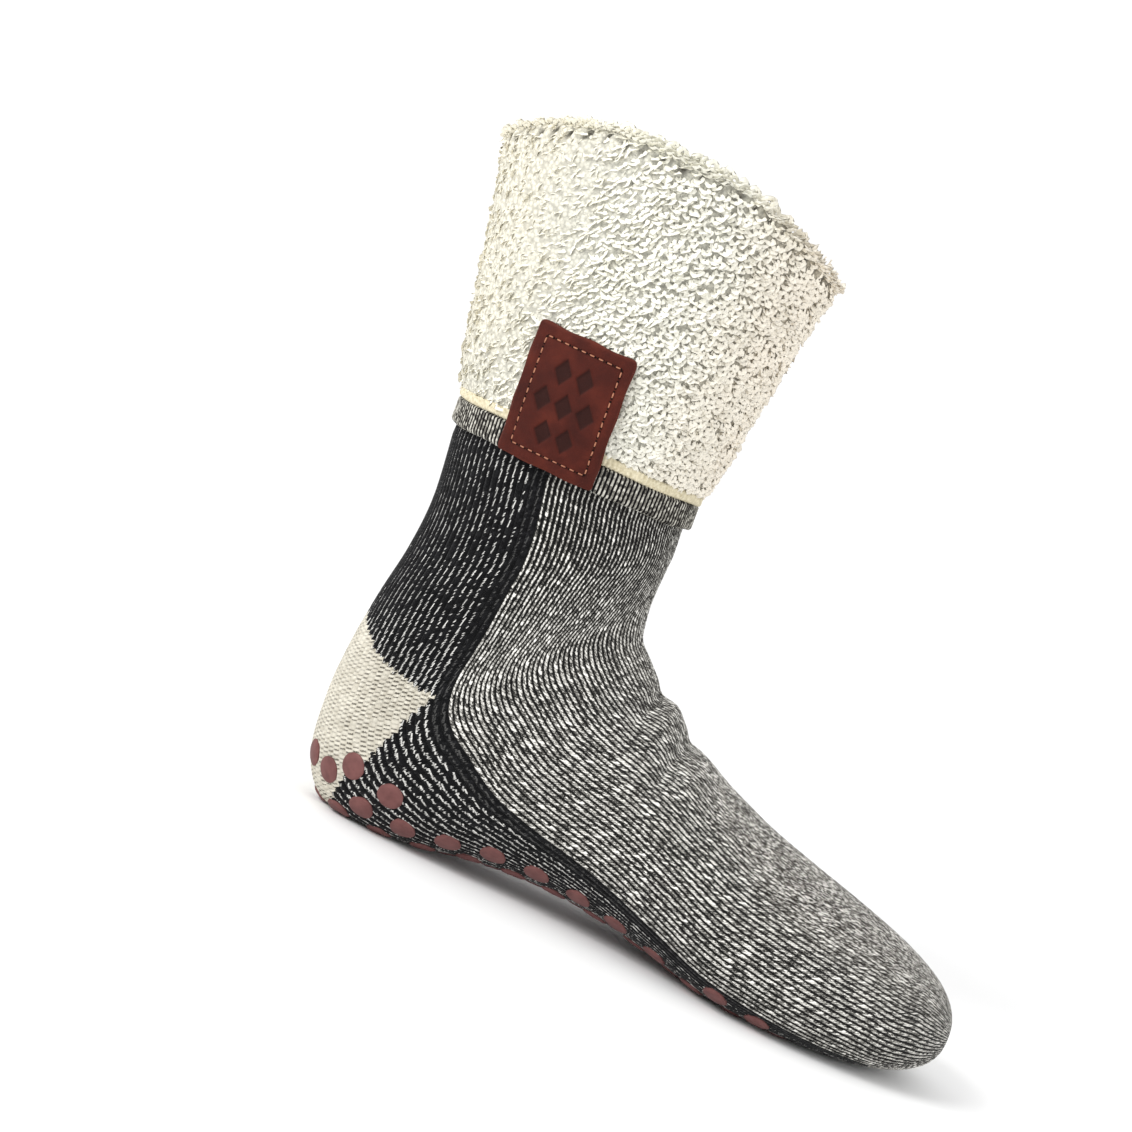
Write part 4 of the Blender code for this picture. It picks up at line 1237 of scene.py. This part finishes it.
def tanned_leather():
    """Vegetable tanned leather, waxed and pressed: a fine grain under a dull, clouded brown.

    The die's heat has darkened the pressed shapes, and the cut edge shows the paler inside.
    """
    hide = Graph("vegetable_tanned_leather", 0.60, Specular_IOR_Level=0.15)
    add = hide.add
    place = add("TexCoord", out=3)
    pore = add("TexVoronoi", named={"Vector": place, "Scale": 1500.0}, feature="DISTANCE_TO_EDGE")
    cloud = add("TexNoise", named={"Vector": place, "Scale": 120.0, "Detail": 4.0})
    fine = add("TexNoise", named={"Vector": place, "Scale": 900.0, "Detail": 3.0})
    colour = add("ValToRGB", cloud, stops=((0.30, "39120b"), (0.52, "45170e"), (0.75, "572115")))
    pressed = add("Attribute", attribute_name="pressed", out=2)
    pressed = add("MapRange", pressed, -0.1, 0.5, 0.0, 0.85, interpolation_type="SMOOTHSTEP")
    colour = add("Mix", pressed, named={6: colour, 7: srgb("260e0a")}, **COLOURS)
    edge = add("MapRange", add("Attribute", attribute_name="edge", out=2), 0.9, 0.1, 0.0, 0.6)
    colour = add("Mix", edge, named={6: colour, 7: srgb("5a261a")}, **COLOURS)
    height = add("Math", fine, 0.6, add("MapRange", pore, 0.0, 0.12), operation="MULTIPLY_ADD")
    return hide.finish(colour, height, 0.00010, 0.6)


def leather_patch():
    """The leather rectangle with its pressed shapes, its cut edge turned in to the cuff."""
    a = np.linspace(-0.5, 0.5, PATCH_COLUMNS) * PATCH_WIDTH
    z = np.linspace(-0.5, 0.5, PATCH_ROWS) * PATCH_HEIGHT
    grid_a, grid_z = np.meshgrid(a, z)
    put_a, put_z = rounded_corners(grid_a, grid_z)
    put_a += CUT_WAVE * np.sin(put_z * 420) * (np.abs(grid_a) > PATCH_WIDTH * 0.48)
    put_z += CUT_WAVE * np.sin(put_a * 390 + 1) * (np.abs(grid_z) > PATCH_HEIGHT * 0.48)
    face = np.array([[patch_point(*spot, 0.0) for spot in zip(*row)] for row in zip(put_a, put_z)])

    # Two more rows all round make the cut edge: one just above the cuff and one on it
    wide = ((2, 2), (2, 2), (0, 0))
    rise = np.pad(PATCH_THICKNESS + patch_relief(put_a, put_z), 2, constant_values=0.0)
    rise[1, 1:-1] = rise[-2, 1:-1] = rise[1:-1, 1] = rise[1:-1, -2] = 0.0003
    outward = np.pad(sheet_normals(face), wide, mode="edge")
    outer = np.pad(face, wide, mode="edge") + outward * rise[..., None]
    middle = face.mean((0, 1))
    for edge_line in (outer[0], outer[-1], outer[:, 0], outer[:, -1]):
        edge_line += (middle - edge_line) * 0.06
    from_edge = np.minimum(PATCH_WIDTH / 2 - np.abs(put_a), PATCH_HEIGHT / 2 - np.abs(put_z))
    fields = {
        "pressed": np.pad(rhombus_field(put_a, put_z), 2, mode="edge") / MM,
        "edge": np.pad(from_edge, 2, mode="edge") / MM,
    }
    patch = grid_object("sock_patch", outer, tanned_leather(), fields=fields, closed=False)
    patch.data.set_sharp_from_angle(angle=math.radians(50))
    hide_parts("leather_patch")


def waxed_thread():
    """Waxed linen thread, twisted: tan, a little shinier than the leather, in close tones."""
    thread = Graph("waxed_thread", 0.6)
    fine = thread.add("TexNoise", named={"Vector": thread.add("TexCoord", out=3), "Scale": 2500.0})
    colour = thread.add("ValToRGB", fine, stops=((0.3, "8a523b"), (0.7, "b57c5c")))
    return thread.finish(colour, fine, 0.0001, 0.5)


def needle_hole_shade():
    """Painted shade for the needle holes: nearly black, as no light gets into a hole."""
    hole = Graph("needle_hole_shade", 0.8, Specular_IOR_Level=0.1)
    tone = hole.add("TexNoise", named={"Vector": hole.add("TexCoord", out=3), "Scale": 900.0})
    return hole.finish(hole.add("ValToRGB", tone, stops=((0.3, "120605"), (0.7, "1c0a08"))))


def patch_thread():
    """The stitches: one slim bead of thread each, sunk into the groove, with a dark disc of painted
    shade for the hole at its ends.
    """
    dice = np.random.RandomState(5)
    half_w, half_h = PATCH_WIDTH / 2 - STITCH_INSET, PATCH_HEIGHT / 2 - STITCH_INSET
    corners = ((-half_w, half_h), (half_w, half_h), (half_w, -half_h), (-half_w, -half_h))
    stitches = []
    for side, start in enumerate(corners):
        end = corners[(side + 1) % 4]
        count = STITCHES_UP if side % 2 else STITCHES_ACROSS
        for k in range(count):
            shares = (k + 0.17) / count, (k + 0.83) / count
            stitches.append([(blend(start[0], end[0], t), blend(start[1], end[1], t)) for t in shares])
    shape = bmesh.new()
    for ends in stitches:
        spots = [Vector(patch_point(a, z, PATCH_THICKNESS - THREAD_SINK)) for a, z in ends]
        way = spots[1] - spots[0]
        made = bmesh.ops.create_uvsphere(shape, u_segments=8, v_segments=7, radius=1.0)
        size = Matrix.Diagonal((THREAD_RADIUS, THREAD_RISE, way.length / 2, 1.0))
        tilt = Matrix.Rotation(dice.normal(0, 0.05), 4, "Y")
        turn = way.to_track_quat("Z", "Y").to_matrix().to_4x4()
        middle = Matrix.Translation((spots[0] + spots[1]) / 2)
        bmesh.ops.transform(shape, matrix=middle @ turn @ tilt @ size, verts=made["verts"])
        for spot in spots:
            # Dark discs of painted shade stand for the needle holes
            hole = bmesh.ops.create_uvsphere(
                shape, u_segments=8, v_segments=5, radius=NEEDLE_HOLE_RADIUS
            )
            bmesh.ops.scale(shape, verts=hole["verts"], vec=(1, 0.45, 1))
            bmesh.ops.translate(shape, verts=hole["verts"], vec=spot)
            for face in {face for vertex in hole["verts"] for face in vertex.link_faces}:
                face.material_index = 1
    thread = placed_object("patch_thread", shape, waxed_thread(), needle_hole_shade())


def grip_spots():
    """(x, arc to the left of the middle line) of every dot: the pads and the rest of the grid."""
    spots = []
    for middle, rows in GRIP_PADS:
        for across, places in rows:
            x = [FOOT_LENGTH * middle + GRIP_PITCH * place for place in places]
            spots += [(one, across * GRIP_ROW_PITCH) for one in x]
    for across, places in ARCH_AND_TOE_DOTS:
        spots += [(x * MM, across * GRIP_ROW_PITCH) for x in places]
    return spots


def sole_skin():
    """The knit's own face up to the ankle, to cast the dots on."""
    sections = spaced_sections(LOWER, SKIN_RING_SPACING)[:SKIN_RINGS]
    points = np.array([ring_at(section, round_shares(120)) for section in sections])
    rows, columns = points.shape[:2]
    index = np.arange(rows * columns).reshape(rows, columns)
    quads = np.stack((index[:-1, :-1], index[:-1, 1:], index[1:, 1:], index[1:, :-1]), axis=-1)
    corners = [tuple(point) for point in points.reshape(-1, 3)]
    return BVHTree.FromPolygons(corners, quads.reshape(-1, 4).tolist())


def dot_place(skin, x, across):
    """A dot's middle, an arc away from the sole's middle line, and the outward normal there."""
    pivot = Vector((x, 0.0002, TOE_TIP_HEIGHT))
    side = math.copysign(1, across)
    hit = skin.ray_cast(pivot, Vector((0, 0, -1)))[0]
    arc = abs(across)
    for k in range(1, 200):
        turn = math.radians(150) * k / 200
        there = skin.ray_cast(pivot, Vector((0, side * math.sin(turn), -math.cos(turn))))[0]
        if there is None or arc <= (there - hit).length:
            break
        arc -= (there - hit).length
        hit = there
    normal = skin.find_nearest(hit)[1]
    return hit, -normal if normal.dot(hit - pivot) < 0 else normal


def connected(start):
    """Every vertex of the piece that a vertex belongs to."""
    found, waiting = {start}, [start]
    while waiting:
        for edge in waiting.pop().link_edges:
            for vertex in edge.verts:
                if vertex not in found:
                    found.add(vertex)
                    waiting.append(vertex)
    return found


def round_dot(shape):
    """A disc one unit in radius and high, with two inner rings for its dome."""
    made = bmesh.ops.create_cone(
        shape, cap_ends=True, segments=GRIP_SIDES, radius1=1.0, radius2=1.0, depth=1.0
    )
    top = [vertex for vertex in made["verts"] if vertex.co.z > 0]
    face = [face for face in top[0].link_faces if all(vertex in top for vertex in face.verts)]
    for width in (0.10, 0.14):
        bmesh.ops.inset_region(shape, faces=face, thickness=width, depth=0.0)
    bmesh.ops.poke(shape, faces=face)
    return connected(made["verts"][0])


def silicone_print():
    """Silicone, printed through a screen: an even brown red, half matt, with fine pits."""
    ink = Graph("silicone_print", 0.62, Specular_IOR_Level=0.4)
    add = ink.add
    place = add("TexCoord", out=3)
    pits = add("TexNoise", named={"Vector": place, "Scale": 1400.0})
    soft = add("TexNoise", named={"Vector": place, "Scale": 260.0, "Detail": 3.0})
    colour = add("ValToRGB", soft, stops=((0.3, "5e3634"), (0.7, "714542")))
    return ink.finish(colour, pits, 0.00012, 0.5)


def grip_dots():
    """The printed dots: low domes, not quite round, that follow the knit, all in one mesh."""
    skin = sole_skin()
    shape = bmesh.new()
    dice = np.random.RandomState(3)
    for x, across in grip_spots():
        hit, normal = dot_place(skin, x, across)
        turn = normal.to_track_quat("Z", "X")
        dot = round_dot(shape)
        oval, corner, _ = dice.normal(0, 0.012, 3)
        for vertex in dot:
            flat = Vector((vertex.co.x, vertex.co.y, 0))
            angle = math.atan2(flat.y, flat.x)
            grow = 1 + oval * math.cos(2 * angle) + corner * math.sin(3 * angle)
            spot = hit + turn @ flat * (GRIP_DIAMETER / 2 * grow)
            cast = skin.ray_cast(spot + normal * GRIP_DIAMETER, -normal, 3 * GRIP_DIAMETER)
            if cast[0] is None:
                cast = skin.find_nearest(spot)
            outward = cast[1] if cast[1].dot(normal) > 0 else -cast[1]
            rise = -DOT_SINK
            if vertex.co.z > 0:
                rise = DOT_RIM + DOT_DOME * (1 - min(flat.length, 1) ** 4)
            vertex.co = cast[0] + normal.lerp(outward, 0.5).normalized() * rise
            vertex.co.z = max(vertex.co.z, 0.0)
    bmesh.ops.recalc_face_normals(shape, faces=shape.faces)
    dots = placed_object("grip_dots", shape, silicone_print())
    dots.data.set_sharp_from_angle(angle=math.radians(55))
    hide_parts(*[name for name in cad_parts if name.startswith("grip_")])


def painted_floor():
    """Matt white paint on a smooth board: nearly white, without a shine."""
    paint = Graph("pale_floor", 0.9)
    colour = paint.add("RGB")
    colour.default_value = srgb("fbfbfb")
    return paint.finish(colour)


def studio_floor():
    """A pale floor that curves up behind."""
    profile = [(-3.0, 0.0), (1.2, 0.0)]
    for turn in np.linspace(0.1, math.pi / 2, 12):
        profile.append((1.2 + 0.8 * math.sin(turn), 0.8 - 0.8 * math.cos(turn)))
    profile += [(2.0, 4.0)]
    shape = bmesh.new()
    start = [shape.verts.new((-4.0, y, z)) for y, z in profile]
    edges = [shape.edges.new(pair) for pair in zip(start, start[1:])]
    made = bmesh.ops.extrude_edge_only(shape, edges=edges)
    moved = [item for item in made["geom"] if isinstance(item, bmesh.types.BMVert)]
    bmesh.ops.translate(shape, verts=moved, vec=(8.0, 0, 0))
    bmesh.ops.recalc_face_normals(shape, faces=shape.faces)
    mesh = bpy.data.meshes.new("floor")
    shape.to_mesh(mesh)
    shape.free()
    mesh.shade_smooth()
    floor = bpy.data.objects.new("floor", mesh)
    bpy.context.scene.collection.objects.link(floor)
    mesh.materials.append(painted_floor())


def camera():
    """A camera at the photo's angle to the leg, rolled as the leg leans there."""
    rise, swing, roll = CAMERA_RISE, CAMERA_SWING, CAMERA_ROLL
    back = (math.sin(swing) * math.cos(rise), -math.cos(swing) * math.cos(rise), math.sin(rise))
    back, level = Vector(back), Vector((math.cos(swing), math.sin(swing), 0))
    upward = back.cross(level)
    right = level * math.cos(roll) + upward * math.sin(roll)
    up = upward * math.cos(roll) - level * math.sin(roll)
    made = bpy.data.objects.new("camera", bpy.data.cameras.new("camera"))
    made.matrix_world = Matrix((right, up, back)).transposed().to_4x4()
    made.location = Vector((SHIFT + AIM_X, 0.0, AIM_HEIGHT)) + back * CAMERA_DISTANCE
    made.data.sensor_width = SENSOR_WIDTH_MM
    made.data.lens = SENSOR_WIDTH_MM * CAMERA_DISTANCE / SEEN_WIDTH
    bpy.context.scene.collection.objects.link(made)
    bpy.context.scene.camera = made


def lights():
    """Two soft lights and an even, bright surround."""
    for name, spot, size, power in LIGHTS:
        light = bpy.data.objects.new(name, bpy.data.lights.new(name, "AREA"))
        light.data.size = size
        light.data.energy = power
        light.location = spot
        aim = Vector((0, 0, 0.12)) - Vector(spot)
        light.rotation_euler = aim.to_track_quat("-Z", "Y").to_euler()
        bpy.context.scene.collection.objects.link(light)
    world = bpy.data.worlds.new("studio")
    world.use_nodes = True
    world.node_tree.nodes["Background"].inputs["Color"].default_value = (1, 1, 1, 1)
    world.node_tree.nodes["Background"].inputs["Strength"].default_value = SURROUND_LIGHT
    bpy.context.scene.world = world
    bpy.context.scene.view_settings.view_transform = "Standard"


knit_piece()
terry_loops(terry_base())
sock_lining()
cuff_welt()
cuff_binding()
leather_patch()
patch_thread()
grip_dots()
studio_floor()
camera()
lights()
